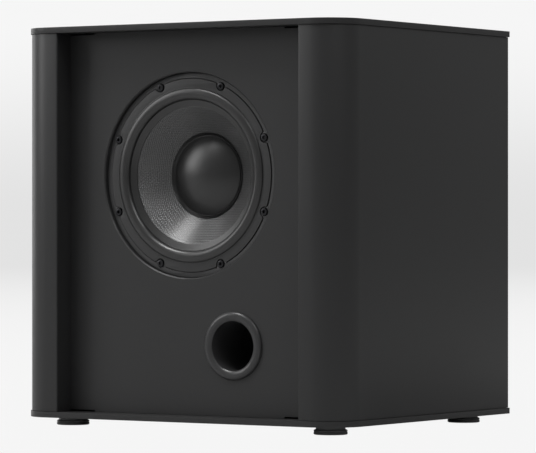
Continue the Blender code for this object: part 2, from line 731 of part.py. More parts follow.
def make_control(name, centre):
    """Potentiometer on the plate, its shaft and its knob; both turn about the knob's axis."""
    can = finish("pot_can", (0.5, 0.5, 0.5), 0.4, 1.0)
    shaft_metal = finish("shaft_aluminium", (0.6, 0.6, 0.6), 0.35, 1.0)
    knob_plastic = finish("knob_plastic", (0.015, 0.015, 0.015), 0.5)
    axis = pivot(f"{name}_axis", (*centre, 0.0), parent=amp_face)
    turned(f"{name}_pot", [
        (4.5, 1.4), (4.5, -6.0), (8.2, -6.0), (8.2, -15.0), (0, -15.0), (0, -7.0), (3.4, -7.0), (3.4, 1.4),
    ], can, SMALL_STEPS, parent=axis, closed=True)
    cylinder(f"{name}_shaft", 3.0, -6.6, 10.4, shaft_metal, steps=12, parent=axis)
    knob = turned(f"{name}_knob", [
        (0, KNOB_TOP), (8.0, KNOB_TOP), (9.0, KNOB_TOP - 1.0), (9.8, 2.0), (3.5, 2.0),
        (3.5, 10.9), (0, 10.9),
    ], knob_plastic, 20, parent=axis, closed=False)
    pointer = box(f"{name}_pointer_groove", (-0.7, 3.5, KNOB_TOP - 0.8), (0.7, 10.5, KNOB_TOP + 1),
                  knob_plastic, parent=axis)
    pointer.location = Matrix.Rotation(math.radians(150), 3, "Z") @ pointer.location
    pointer.rotation_euler = (0, 0, math.radians(150))
    cut(knob, make_cutter(pointer))


def make_slide_switch(name, centre, travel):
    """Recessed slide switch; its nub starts at the left end of its slot."""
    nylon = finish("switch_nylon", (0.02, 0.02, 0.02), 0.5)
    half = travel / 2
    nub = 2.2
    reach = half + nub + 0.5
    x, y = centre
    body = box(f"{name}_switch", (x - reach - 2.4, y - 3.5, -9.0), (x + reach + 2.4, y + 3.5, 0.8), nylon,
               parent=amp_face)
    cut(body, make_cutter(box(f"{name}_slot", (x - reach, y - 2.4, -5.0), (x + reach, y + 2.4, 3.0), nylon,
                              parent=amp_face)))
    box(f"{name}_slider", (x - half - nub, y - 2.0, -4.6), (x - half + nub, y + 2.0, 2.4), nylon,
        parent=amp_face)


def make_power_entry():
    nylon = finish("switch_nylon", (0.02, 0.02, 0.02), 0.5)
    x, y = INLET_AT
    inlet = box("mains_inlet", (x - 13.4, y - 15.4, -22.0), (x + 13.4, y + 15.4, GAP + 0.2), nylon,
                parent=amp_face)
    flange = make_cutter(box("inlet_flange", (x - 15.5, y - 17.5, GAP), (x + 15.5, y + 17.5, 2.6), nylon,
                             parent=amp_face))
    cut(inlet, flange, "UNION")
    socket_middle = y + 5.0
    cut(inlet, make_cutter(box("inlet_socket", (x - 12.0, socket_middle - 8.0, -16.0),
                               (x + 12.0, socket_middle + 8.0, 6.0), nylon, parent=amp_face)))
    drawer_middle = y - 9.5
    cut(inlet, make_cutter(box("drawer_room", (x - 11.5, drawer_middle - 4.0, -16.0),
                               (x + 11.5, drawer_middle + 4.0, 6.0), nylon, parent=amp_face)))
    box("fuse_drawer", (x - 11.0, drawer_middle - 3.5, -15.4), (x + 11.0, drawer_middle + 3.5, 3.6), nylon,
        parent=amp_face)
    pin = box("pin", (-1.0, -2.0, -6.5), (1.0, 2.0, 6.5), nylon)
    cut(inlet, pattern("inlet_pins", pin, [
        shifted(x - 7.0, socket_middle, -10.5), shifted(x, socket_middle + 4.0, -10.5),
        shifted(x + 7.0, socket_middle, -10.5),
    ], parent=amp_face), "UNION")

    x, y = ROCKER_AT
    frame = box("power_switch_frame", (x - 6.5, y - 9.5, -16.0), (x + 6.5, y + 9.5, GAP + 0.2), nylon,
                parent=amp_face)
    cut(frame, make_cutter(box("frame_flange", (x - 7.6, y - 10.6, GAP), (x + 7.6, y + 10.6, 2.0), nylon,
                               parent=amp_face)), "UNION")
    cut(frame, make_cutter(box("rocker_room", (x - 5.7, y - 8.8, -8.0), (x + 5.7, y + 8.8, 5.0), nylon,
                               parent=amp_face)))
    axis = pivot("rocker_axis", (x, y, -1.0), turn=(ROCKER_TILT, 0, 0), parent=amp_face)
    rocker_side = [(-8.0, -2.5), (8.0, -2.5), (8.0, 3.4), (0.0, 2.2), (-8.0, 3.4)]
    rocker = outline_solid("power_rocker", rocker_side, -5.2, 5.2, nylon)
    rocker.parent = axis
    turn = Matrix.Rotation(math.pi / 2, 4, "Y") @ Matrix.Rotation(math.pi / 2, 4, "Z")
    bpy.context.view_layer.update()
    rocker.matrix_world = axis.matrix_world @ turn


def make_jacks_and_lamp():
    nickel = finish("nickel_plating", (0.6, 0.58, 0.5), 0.3, 1.0)
    lens = finish("lamp_lens", (0.1, 0.3, 0.6), 0.15)
    jack_profile = [
        (4.15, 9.0), (4.15, 1.8), (6.5, 1.8), (6.5, GAP), (4.2, GAP), (4.2, -12.0), (0, -12.0), (0, 1.0),
        (1.7, 1.0), (1.7, 9.0),
    ]
    for name, (x, y) in zip(("left", "right"), JACKS_AT):
        turned(f"{name}_input_jack", jack_profile, nickel, 12, at=(x, y, 0), parent=amp_face)
    turned("led_lens", [
        (0, 2.4), (1.4, 1.9), (2.0, 0.9), (2.0, -6.0), (0, -6.0),
    ], lens, 12, at=(*LED_AT, 0.0), parent=amp_face, closed=False)


# ------------------------------------------------------------------ inner leads
def make_speaker_leads():
    """Two leads from the amplifier's housing to the driver's terminals."""
    red = finish("lead_red", (0.35, 0.02, 0.02), 0.5)
    black = finish("lead_black", (0.01, 0.01, 0.01), 0.5)
    strip_y = BAFFLE_Y + 56.0
    strip_z = FOOT_HEIGHT + DRIVER_Z - 72.2
    box_y = BACK_FACE_Y - AMP_BOX[2]
    lead_z = PLATE_MID_Z + 40.0
    for name, side, material in (("speaker_lead_red", -1, red), ("speaker_lead_black", 1, black)):
        x = side * 2.4
        end = side * 6.0
        wire(name, [
            (x, box_y + 3.0, lead_z), (x, box_y - 14.0, lead_z), (x * 3, box_y - 36.0, lead_z - 24.0),
            (x * 4, box_y - 56.0, lead_z - 59.0), (x * 3, box_y - 86.0, lead_z - 77.0),
            (end, strip_y + 42.0, strip_z - 12.0), (end, strip_y + 16.0, strip_z - 6.0),
            (end, strip_y, strip_z),
        ], 1.5, material, between=3)


clear_scene()
parts = new_collection("subwoofer")
cutters = new_collection("cutters")
driver_axis = pivot("driver_axis", (0, BAFFLE_Y, FOOT_HEIGHT + DRIVER_Z), (math.pi / 2, 0, 0))
port_axis = pivot("port_axis", (PORT_X, BAFFLE_Y, FOOT_HEIGHT + PORT_Z), (math.pi / 2, 0, 0))
amp_face = pivot("amp_face", (0, BACK_FACE_Y + GAP + AMP_PLATE, PLATE_MID_Z), (math.pi / 2, 0, math.pi))
bpy.context.view_layer.update()
make_cabinet()
make_feet()
make_port()
make_basket()
make_trim_ring()
make_driver_screws()
make_surround()
make_cone()
make_dust_cap()
make_spider()
make_coil()
make_motor()
make_terminals()
make_amp_plate()
make_amp_inside()
make_control("level", LEVEL_AT)
make_control("crossover", CROSSOVER_AT)
make_slide_switch("phase", PHASE_AT, PHASE_TRAVEL)
make_slide_switch("mode", MODE_AT, MODE_TRAVEL)
make_power_entry()
make_jacks_and_lamp()
make_speaker_leads()
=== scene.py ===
"""Looks of an active 8-inch bass-reflex subwoofer, built around its fixed CAD frame.

The file is laid out as a Blender add-on and is run as a script. Lengths in the shape
functions are in millimetres and become metres when a mesh is made. World axes: +Z up,
the baffle faces -Y. Two local frames are used: the driver's and the port's, whose Z
comes out of the baffle, and the amplifier's, whose Z comes out of its plate at the back.
"""

import json
import math

import bmesh
import bpy
from bpy.props import FloatProperty, FloatVectorProperty, IntProperty, PointerProperty
from bpy.types import Operator, Panel, PropertyGroup
from mathutils import Matrix, Vector


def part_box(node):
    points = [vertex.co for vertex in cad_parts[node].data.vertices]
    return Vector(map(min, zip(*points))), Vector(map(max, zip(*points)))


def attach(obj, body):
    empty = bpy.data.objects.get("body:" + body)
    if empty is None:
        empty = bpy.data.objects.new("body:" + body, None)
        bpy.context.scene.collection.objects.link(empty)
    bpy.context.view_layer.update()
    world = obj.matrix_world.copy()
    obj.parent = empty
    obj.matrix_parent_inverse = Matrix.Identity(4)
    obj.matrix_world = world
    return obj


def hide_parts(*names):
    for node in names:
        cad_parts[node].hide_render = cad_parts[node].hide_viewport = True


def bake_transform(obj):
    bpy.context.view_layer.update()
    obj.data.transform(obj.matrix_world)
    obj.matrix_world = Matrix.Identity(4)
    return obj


bl_info = {
    "name": "Active subwoofer",
    "version": (1, 0, 0),
    "blender": (4, 5, 0),
    "location": "View3D > Sidebar > Subwoofer",
    "description": "Models the pieces and finishes of an active 8-inch subwoofer",
    "category": "Add Mesh",
}

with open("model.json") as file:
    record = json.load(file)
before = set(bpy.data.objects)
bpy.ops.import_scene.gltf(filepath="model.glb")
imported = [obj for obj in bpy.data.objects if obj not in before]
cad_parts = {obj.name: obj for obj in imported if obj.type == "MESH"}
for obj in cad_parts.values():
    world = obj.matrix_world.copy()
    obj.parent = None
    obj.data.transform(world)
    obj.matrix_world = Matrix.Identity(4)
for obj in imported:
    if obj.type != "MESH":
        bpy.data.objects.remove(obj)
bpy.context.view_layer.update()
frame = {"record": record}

MM = 0.001
BODY_OF = {
    node: body for body, nodes in frame["record"]["behaviour"]["bodies"].items() for node in nodes
}
SLOT_OF = {row["node"]: row["material_slot"] for row in frame["record"]["subparts"]}


# ------------------------------------------------------------------ frame places
def low(node):
    """Lowest corner of a node's box, in millimetres."""
    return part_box(node)[0] / MM


def high(node):
    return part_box(node)[1] / MM


def middle(node):
    return (low(node) + high(node)) / 2


def moved(x=0.0, y=0.0, z=0.0):
    return Matrix.Translation(Vector((x, y, z)) * MM)


def turned_about(degrees, axis):
    return Matrix.Rotation(math.radians(degrees), 4, axis)


BAFFLE_FACE = low("baffle").y
DRIVER = moved(middle("trim_ring").x, BAFFLE_FACE, middle("trim_ring").z) @ turned_about(90, "X")
PORT = moved(middle("port_mouth").x, BAFFLE_FACE, middle("port_mouth").z) @ turned_about(90, "X")
AMP = moved(middle("amp_plate").x, high("amp_plate").y, middle("amp_plate").z) @ (
    turned_about(180, "Z") @ turned_about(90, "X")
)


def at_amp(node):
    """Centre of a node in the amplifier's frame, without its depth."""
    local = AMP.inverted() @ (middle(node) * MM)
    return local.x / MM, local.y / MM


# ------------------------------------------------------------------ node graphs
class Value:
    """A number that comes out of a node, on which Python's operators add Math nodes."""

    def __init__(self, graph, socket):
        self.graph = graph
        self.socket = socket

    def math(self, operation, *others):
        return self.graph.math(operation, self, *others)

    def __add__(self, other):
        return self.math("ADD", other)

    def __radd__(self, other):
        return self.graph.math("ADD", other, self)

    def __sub__(self, other):
        return self.math("SUBTRACT", other)

    def __rsub__(self, other):
        return self.graph.math("SUBTRACT", other, self)

    def __mul__(self, other):
        return self.math("MULTIPLY", other)

    def __rmul__(self, other):
        return self.graph.math("MULTIPLY", other, self)

    def __truediv__(self, other):
        return self.math("DIVIDE", other)

    def __rtruediv__(self, other):
        return self.graph.math("DIVIDE", other, self)


class Graph:
    """A node tree with one method that adds any node."""

    def __init__(self, tree):
        self.tree = tree

    def node(self, kind, settings=None, sockets=None, output=None):
        """Add a node, set it up, fill its sockets and give one of its outputs."""
        node = self.tree.nodes.new(kind)
        for key, setting in (settings or {}).items():
            setattr(node, key, setting)
        for key, given in (sockets or {}).items():
            self.fill(self.find(node.inputs, key), given)
        return Value(self, self.find(node.outputs, output))

    @staticmethod
    def find(sockets, key):
        if key is None:
            return next(socket for socket in sockets if socket.enabled)
        if isinstance(key, int):
            return sockets[key]
        for socket in sockets:
            if socket.enabled and key in (socket.identifier, socket.name):
                return socket
        raise KeyError(f"no socket {key!r} among {[socket.name for socket in sockets]}")

    def fill(self, socket, given):
        if isinstance(given, Value):
            self.tree.links.new(given.socket, socket)
        else:
            socket.default_value = given

    def math(self, operation, *values):
        return self.node("ShaderNodeMath", {"operation": operation}, dict(enumerate(values)))

    def vector(self, operation, *values, output=None):
        return self.node("ShaderNodeVectorMath", {"operation": operation}, dict(enumerate(values)),
                         output)

    def combine(self, x=0.0, y=0.0, z=0.0):
        return self.node("ShaderNodeCombineXYZ", None, {"X": x, "Y": y, "Z": z})

    def parts(self, vector):
        split = self.node("ShaderNodeSeparateXYZ", None, {"Vector": vector}, "X").socket.node
        return [Value(self, split.outputs[axis]) for axis in "XYZ"]


class Finish(Graph):
    """A Principled material; patterns read the object's own coordinates, in metres."""

    def __init__(self, name, colour, roughness, metallic=0.0, specular=0.5, coat=0.0):
        self.material = bpy.data.materials.new(name)
        self.material.use_nodes = True
        super().__init__(self.material.node_tree)
        self.shader = self.tree.nodes["Principled BSDF"]
        self.colour = tuple(colour)
        self.set("Base Color", (*colour, 1.0))
        self.set("Roughness", roughness)
        self.set("Metallic", metallic)
        self.set("Specular IOR Level", specular)
        self.set("Coat Weight", coat)
        self.set("Coat Roughness", 0.3)
        self.roughness = roughness
        self.where = self.node("ShaderNodeTexCoord", output="Object")

    def set(self, name, given):
        self.fill(self.shader.inputs[name], given)

    def stretched(self, x=1.0, y=1.0, z=1.0):
        return self.node("ShaderNodeMapping", None, {"Vector": self.where, "Scale": (x, y, z)})

    def noise(self, scale, detail=2.0, vector=None):
        return self.node("ShaderNodeTexNoise", None, {
            "Vector": vector or self.where, "Scale": scale, "Detail": detail,
        }, "Fac")

    def cells(self, scale):
        """Distance to the middle of the nearest of many small cells."""
        return self.node("ShaderNodeTexVoronoi", None, {
            "Vector": self.where, "Scale": scale,
        }, "Distance")

    def mix(self, factor, first, second):
        return self.node("ShaderNodeMix", {"data_type": "RGBA"}, {
            "Factor_Float": factor, "A_Color": first, "B_Color": second,
        }, "Result_Color")

    def shade(self, factor, darker, lighter):
        """Base colour between two multiples of the finish's own colour."""
        first = tuple(channel * darker for channel in self.colour) + (1.0,)
        second = tuple(channel * lighter for channel in self.colour) + (1.0,)
        mixed = self.mix(factor, first, second)
        self.set("Base Color", mixed)
        return mixed

    def threads(self, pitch_mm):
        """Two waves across each other, seen square on to the driver."""
        x, _, z = self.parts(self.where)
        return [(place * (math.pi / (pitch_mm * MM))).math("SINE") for place in (x, z)]

    def vary_roughness(self, factor, amount):
        self.set("Roughness", self.roughness + (factor - 0.5) * amount)

    def bump(self, height, distance_mm, strength=1.0):
        self.set("Normal", self.node("ShaderNodeBump", None, {
            "Height": height, "Distance": distance_mm * MM, "Strength": strength,
        }))


FINISHES = {}


def finish(name, build, *values, **settings):
    """One material for each name, made when it is first asked for."""
    if name not in FINISHES:
        FINISHES[name] = build(name, *values, **settings)
    return FINISHES[name]


# --------------------------------------------------------------------- finishes
def lacquer(name, colour, roughness, grain=0.35):
    """Sprayed satin lacquer: very low orange peel and a faint cloudiness."""
    look = Finish(name, colour, roughness)
    cloud = look.noise(9.0, 3.0)
    peel = look.noise(620.0, 2.0)
    look.shade(cloud, 0.94, 1.06)
    look.vary_roughness(cloud, 0.05)
    look.bump(peel, 0.02 * grain)
    return look.material


def moulding(name, colour, roughness, texture=0.03, specular=0.5):
    """Moulded plastic with a spark-eroded texture."""
    look = Finish(name, colour, roughness, specular=specular)
    pores = look.noise(2600.0, 3.0)
    look.shade(look.noise(60.0, 2.0), 0.9, 1.1)
    look.vary_roughness(pores, 0.12)
    look.bump(pores, texture)
    return look.material


def rubber(name, colour, roughness, specular=0.5, bloom=0.12):
    """Rubber with a fine skin and a little bloom."""
    look = Finish(name, colour, roughness, specular=specular)
    skin = look.noise(1800.0, 2.0)
    dust = look.noise(35.0, 4.0)
    look.shade(dust, 1.0 - bloom, 1.0 + bloom)
    look.vary_roughness(dust, 0.08)
    look.bump(skin, 0.02)
    return look.material


def woven(name, colour, roughness, pitch_mm):
    """Plain weave seen square on to the driver: threads cross over and under."""
    look = Finish(name, colour, roughness, specular=0.95, coat=0.8)
    across, along = look.threads(pitch_mm)
    over = (across * along) * 0.5 + 0.5
    warp = across.math("ABSOLUTE")
    weft = along.math("ABSOLUTE")
    height = weft * over + warp * (1.0 - over)
    resin = look.noise(45.0, 3.0)
    # Painted shade where threads dip under and painted sheen on their crowns; the resin noise is
    # real clouding.
    look.shade(height * 0.8 + resin * 0.3, 0.3, 1.6)
    look.vary_roughness(height, -0.2)
    look.bump(height, 0.5)
    return look.material


def powder_coat(name, colour, roughness):
    """Fine-textured powder coat."""
    look = Finish(name, colour, roughness)
    beads = look.cells(1500.0)
    look.shade(beads, 0.8, 1.25)
    look.vary_roughness(beads, 0.15)
    look.bump(beads, 0.06)
    return look.material


def plated(name, colour, roughness, brushed=0.0):
    """Plated or bare metal, with a brushed grain where asked for."""
    look = Finish(name, colour, roughness, metallic=1.0)
    grain = look.noise(260.0, 3.0, look.stretched(1.0, 14.0, 1.0))
    stain = look.noise(50.0, 3.0)
    look.shade(stain, 0.88, 1.08)
    look.vary_roughness(grain, 0.12 + brushed)
    look.bump(grain, 0.004 + 0.02 * brushed)
    return look.material


def grained(name, colour, roughness, grain, shades, vary=0.0, depth=0.0, **kind):
    """Finish with one fine grain, given as a noise's scale and detail; its depth is in mm."""
    look = Finish(name, colour, roughness, **kind)
    speckle = look.noise(*grain)
    look.shade(speckle, *shades)
    if vary:
        look.vary_roughness(speckle, vary)
    if depth:
        look.bump(speckle, depth)
    return look.material


def cast_coating(name, colour, roughness):
    """Painted die casting with a slight orange-peel."""
    return grained(name, colour, roughness, (900.0, 4.0), (0.85, 1.15), vary=0.12, depth=0.05)


def fibreboard(name, colour, roughness):
    """Stained medium density fibreboard."""
    look = Finish(name, colour, roughness, specular=0.3)
    fibres = look.noise(520.0, 5.0, look.stretched(1.0, 1.0, 2.5))
    cloud = look.noise(14.0, 3.0)
    look.shade(fibres * 0.6 + cloud * 0.4, 0.7, 1.3)
    look.bump(fibres, 0.05)
    return look.material


def ferrite(name, colour, roughness):
    """Sintered ferrite: dark, with ground faces and small chips."""
    look = Finish(name, colour, roughness)
    grit = look.noise(1400.0, 5.0)
    chips = look.cells(190.0)
    look.shade(grit, 0.8, 1.25)
    look.bump(grit * 0.6 + chips * 0.4, 0.05)
    return look.material


def wound(name, colour, roughness, pitch_mm, metallic=1.0):
    """Turns of wire or tape laid side by side along the driver's axis."""
    look = Finish(name, colour, roughness, metallic=metallic)
    _, y, _ = look.parts(look.where)
    turns = (y * (math.pi / (pitch_mm * MM))).math("SINE").math("ABSOLUTE")
    look.shade(turns, 0.45, 1.1)
    look.bump(turns, 0.12)
    return look.material


def resin_cloth(name, colour, roughness):
    """Coarse cloth dipped in amber resin."""
    look = Finish(name, colour, roughness, specular=0.35)
    across, along = look.threads(pitch_mm=0.9)
    height = (across * along).math("ABSOLUTE").math("SQRT")
    resin = look.noise(80.0, 3.0)
    look.shade(height * 0.6 + resin * 0.4, 0.6, 1.2)
    look.bump(height, 0.18)
    return look.material


def laminate(name, colour, roughness):
    """Paper laminate or circuit board with faint tracks."""
    look = Finish(name, colour, roughness)
    cells = look.node("ShaderNodeTexBrick", {"offset": 0.5}, {
        "Vector": look.where, "Scale": 60.0, "Mortar Size": 0.03,
    }, "Fac")
    look.shade(cells * 0.7 + look.noise(120.0, 2.0) * 0.3, 0.85, 1.5)
    look.bump(cells, 0.03)
    return look.material


def insulation(name, colour, roughness):
    """Extruded cable insulation, sleeve or tape."""
    return grained(name, colour, roughness, (300.0, 2.0), (0.85, 1.15), depth=0.01)


def lens(name, colour, roughness):
    """Clear coloured plastic, as a dark lamp's lens or a film."""
    return grained(name, colour, roughness, (900.0, 1.0), (0.7, 1.3), specular=0.6, coat=0.5)


def print_ink(name, colour, roughness):
    """Screen-printed ink, a little uneven."""
    return grained(name, colour, roughness, (1500.0, 2.0), (0.85, 1.0), depth=0.005)


# ------------------------------------------------------------------ mesh making
def link(obj):
    bpy.context.scene.collection.objects.link(obj)
    return obj


def drop(obj):
    bpy.data.objects.remove(obj, do_unlink=True)


def evaluated(obj):
    """Plain mesh of an object with its modifiers, and the object removed."""
    bpy.context.view_layer.update()
    graph = bpy.context.evaluated_depsgraph_get()
    mesh = bpy.data.meshes.new_from_object(obj.evaluated_get(graph))
    drop(obj)
    return mesh


def placed(mesh, matrix):
    mesh.transform(matrix)
    return mesh


def soft(mesh, angle=35.0):
    """Smooth shading with sharp edges where the surface really turns."""
    work = bmesh.new()
    work.from_mesh(mesh)
    limit = math.radians(angle)
    for face in work.faces:
        face.smooth = True
    for edge in work.edges:
        edge.smooth = len(edge.link_faces) == 2 and edge.calc_face_angle() < limit
    work.to_mesh(mesh)
    work.free()
    return mesh


def cleaned(mesh, distance=1e-7, recalculate=False):
    work = bmesh.new()
    work.from_mesh(mesh)
    bmesh.ops.remove_doubles(work, verts=work.verts, dist=distance)
    bmesh.ops.dissolve_degenerate(work, edges=work.edges, dist=distance)
    if recalculate:
        bmesh.ops.recalc_face_normals(work, faces=work.faces)
    work.to_mesh(mesh)
    work.free()
    return mesh


def eased(points, radius, steps=3, closed=True):
    """Round the sharp corners of an outline or a profile, in millimetres."""
    rounded = []
    count = len(points)
    for index, corner in enumerate(points):
        corner = Vector(corner)
        if not closed and index in (0, count - 1):
            rounded.append(corner)
            continue
        before = Vector(points[index - 1]) - corner
        after = Vector(points[(index + 1) % count]) - corner
        if before.length < 1e-6 or after.length < 1e-6:
            continue
        turn = math.pi - before.angle(after)
        if turn < math.radians(20):
            rounded.append(corner)
            continue
        reach = min(radius, before.length * 0.45, after.length * 0.45)
        first = corner + before.normalized() * reach
        last = corner + after.normalized() * reach
        for step in range(steps + 1):
            t = step / steps
            rounded.append(first * (1 - t) ** 2 + corner * (2 * t * (1 - t)) + last * t ** 2)
    return rounded


def arc(x, y, radius, start, end, steps):
    angles = [math.radians(start + (end - start) * step / steps) for step in range(steps + 1)]
    return [(x + radius * math.cos(angle), y + radius * math.sin(angle)) for angle in angles]


def revolved(profile, steps, closed=True):
    """Turn (radius, height) points about Z; the outer side runs from top to bottom."""
    mesh = bpy.data.meshes.new("turned")
    rows = len(profile)
    points = []
    for radius, height in profile:
        for step in range(steps):
            angle = math.tau * step / steps
            points.append((
                radius * MM * math.cos(angle), radius * MM * math.sin(angle), height * MM,
            ))
    faces = []
    for row in range(rows if closed else rows - 1):
        below = (row + 1) % rows
        for step in range(steps):
            after = (step + 1) % steps
            faces.append((
                row * steps + step, below * steps + step,
                below * steps + after, row * steps + after,
            ))
    mesh.from_pydata(points, [], faces)
    return cleaned(mesh)


def slab(outline, bottom, top, holes=(), bevel=0.0, segments=2):
    """Flat outline in XY with holes, raised between two heights, its edges bevelled."""
    curve = bpy.data.curves.new("outline", "CURVE")
    curve.dimensions = "2D"
    curve.fill_mode = "BOTH"
    curve.extrude = (top - bottom) / 2 * MM
    for points in (outline, *holes):
        spline = curve.splines.new("POLY")
        spline.points.add(len(points) - 1)
        for point, (x, y) in zip(spline.points, points):
            point.co = (x * MM, y * MM, 0.0, 1.0)
        spline.use_cyclic_u = True
    mesh = cleaned(evaluated(link(bpy.data.objects.new("outline", curve))), 1e-6, recalculate=True)
    placed(mesh, moved(z=(top + bottom) / 2))
    return bevelled(mesh, bevel, segments) if bevel else mesh


def bevelled(mesh, width, segments=2, angle=50.0):
    obj = link(bpy.data.objects.new("bevelled", mesh))
    modifier = obj.modifiers.new("edges", "BEVEL")
    modifier.width = width * MM
    modifier.segments = segments
    modifier.limit_method = "ANGLE"
    modifier.angle_limit = math.radians(angle)
    return evaluated(obj)


def carved(mesh, cutters, operation="DIFFERENCE"):
    """Boolean a mesh with others; the others are used up."""
    obj = link(bpy.data.objects.new("carved", mesh))
    tools = [link(bpy.data.objects.new("tool", cutter)) for cutter in cutters]
    for tool in tools:
        modifier = obj.modifiers.new("cut", "BOOLEAN")
        modifier.solver = "EXACT"
        modifier.operation = operation
        modifier.object = tool
    result = evaluated(obj)
    for tool in tools:
        drop(tool)
    return result


def joined(*meshes):
    """One mesh of several separate shells."""
    work = bmesh.new()
    for mesh in meshes:
        work.from_mesh(mesh)
    whole = bpy.data.meshes.new("joined")
    work.to_mesh(whole)
    work.free()
    return whole


def rectangle(width, height, radius, x=0.0, y=0.0, steps=5):
    half_x, half_y = width / 2 - radius, height / 2 - radius
    points = []
    for side_x, side_y, start in ((1, 1, 0), (-1, 1, 90), (-1, -1, 180), (1, -1, 270)):
        points += arc(x + side_x * half_x, y + side_y * half_y, radius, start, start + 90, steps)
    return points


def circle(radius, x=0.0, y=0.0, steps=48):
    return arc(x, y, radius, 0, 360 - 360 / steps, steps - 1)


def tube(route, radius, between=6, sides=3):
    """Round lead along a smooth curve through points in millimetres."""
    points = [Vector(point) for point in route]
    ends = [points[0] * 2 - points[1], *points, points[-1] * 2 - points[-2]]
    path = []
    for a, b, c, d in zip(ends, ends[1:], ends[2:], ends[3:]):
        for step in range(between):
            t = step / between
            path.append(0.5 * (
                2 * b + (c - a) * t
                + (2 * a - 5 * b + 4 * c - d) * t ** 2
                + (3 * b - a - 3 * c + d) * t ** 3
            ))
    path.append(points[-1])
    curve = bpy.data.curves.new("tube", "CURVE")
    curve.dimensions = "3D"
    curve.bevel_depth = radius * MM
    curve.bevel_resolution = sides
    curve.use_fill_caps = True
    spline = curve.splines.new("POLY")
    spline.points.add(len(path) - 1)
    for point, co in zip(spline.points, path):
        point.co = (*(co * MM), 1.0)
    return cleaned(evaluated(link(bpy.data.objects.new("tube", curve))), 1e-6, recalculate=True)


def piece(name, mesh, look, nodes=(), body=None, slot=None):
    """A finished piece: it takes its body from the CAD node it stands for."""
    obj = shown(name, mesh, look, nodes, slot)
    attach(obj, body or BODY_OF[nodes[0]])
    return obj


def stand_in(node, mesh, place, look):
    """A finished piece that stands for one CAD node."""
    piece(node, soft(placed(mesh, place)), look, [node])


def extra(name, mesh, place, look, slot, body="cabinet"):
    """A piece that the frame leaves out."""
    piece(name, soft(placed(mesh, place)), look, body=body, slot=slot)


def stretched_piece(name, mesh, look, node):
    """A piece that stands for one CAD node, with its transform baked into its mesh."""
    obj = shown(name, mesh, look, [node], None)
    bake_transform(obj)
    return obj


def shown(name, mesh, look, nodes, slot):
    """Object with its one finish; the CAD nodes that it stands for are hidden."""
    name = f"{name}_finished" if name in SLOT_OF else name
    mesh.materials.clear()
    mesh.materials.append(look)
    mesh.name = name
    obj = link(bpy.data.objects.new(name, mesh))
    slot or SLOT_OF[nodes[0]]
    if nodes:
        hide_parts(*nodes)
    return obj


# --------------------------------------------------------------- geometry nodes
def geometry_graph(name, inputs):
    """Empty Geometry Nodes tree with named inputs; gives the graph and its inputs."""
    tree = bpy.data.node_groups.new(name, "GeometryNodeTree")
    for label, kind, default in inputs:
        socket = tree.interface.new_socket(label, in_out="INPUT", socket_type=kind)
        if default is not None:
            socket.default_value = default
    tree.interface.new_socket("Geometry", in_out="OUTPUT", socket_type="NodeSocketGeometry")
    graph = Graph(tree)
    source = tree.nodes.new("NodeGroupInput")
    given = {label: Value(graph, source.outputs[label]) for label, _, _ in inputs}
    return graph, given


def finish_tree(graph, geometry, material):
    """Every tree ends in Realize Instances and Set Material."""
    real = graph.node("GeometryNodeRealizeInstances", None, {"Geometry": geometry})
    painted = graph.node("GeometryNodeSetMaterial", None, {"Geometry": real, "Material": material})
    sink = graph.tree.nodes.new("NodeGroupOutput")
    graph.tree.links.new(painted.socket, sink.inputs["Geometry"])
    return graph.tree


def ring_tree():
    """Copies of a part on an arc about Z, each turned to face outwards."""
    graph, given = geometry_graph("Parts on an arc", [
        ("Part", "NodeSocketObject", None),
        ("Count", "NodeSocketInt", 8),
        ("Radius", "NodeSocketFloat", 0.1),
        ("First Angle", "NodeSocketFloat", 0.0),
        ("Sweep", "NodeSocketFloat", math.tau),
        ("Random Turn", "NodeSocketFloat", 0.0),
        ("Seed", "NodeSocketInt", 3),
        ("Finish", "NodeSocketMaterial", None),
    ])
    index = graph.node("GeometryNodeInputIndex")
    angle = given["First Angle"] + given["Sweep"] * index / given["Count"]
    place = graph.combine(
        angle.math("COSINE") * given["Radius"], angle.math("SINE") * given["Radius"], 0.0)
    points = graph.node("GeometryNodePoints", None, {"Count": given["Count"], "Position": place})
    part = graph.node("GeometryNodeObjectInfo", None, {"Object": given["Part"]}, "Geometry")
    stray = graph.node("FunctionNodeRandomValue", {"data_type": "FLOAT"}, {
        "Min_001": given["Random Turn"] * -1.0, "Max_001": given["Random Turn"],
        "Seed": given["Seed"],
    }, "Value_001")
    copies = graph.node("GeometryNodeInstanceOnPoints", None, {
        "Points": points, "Instance": part, "Rotation": graph.combine(0.0, 0.0, angle + stray),
    })
    return finish_tree(graph, copies, given["Finish"])


def points_tree():
    """Copies of a part on the corners of a mesh, each with a random turn about Z."""
    graph, given = geometry_graph("Parts on points", [
        ("Geometry", "NodeSocketGeometry", None),
        ("Part", "NodeSocketObject", None),
        ("Random Turn", "NodeSocketFloat", math.pi),
        ("Seed", "NodeSocketInt", 5),
        ("Finish", "NodeSocketMaterial", None),
    ])
    part = graph.node("GeometryNodeObjectInfo", None, {"Object": given["Part"]}, "Geometry")
    turn = graph.node("FunctionNodeRandomValue", {"data_type": "FLOAT"}, {
        "Min_001": 0.0, "Max_001": given["Random Turn"], "Seed": given["Seed"],
    }, "Value_001")
    points = graph.node("GeometryNodeMeshToPoints", None, {"Mesh": given["Geometry"]})
    copies = graph.node("GeometryNodeInstanceOnPoints", None, {
        "Points": points, "Instance": part, "Rotation": graph.combine(0.0, 0.0, turn),
    })
    return finish_tree(graph, copies, given["Finish"])


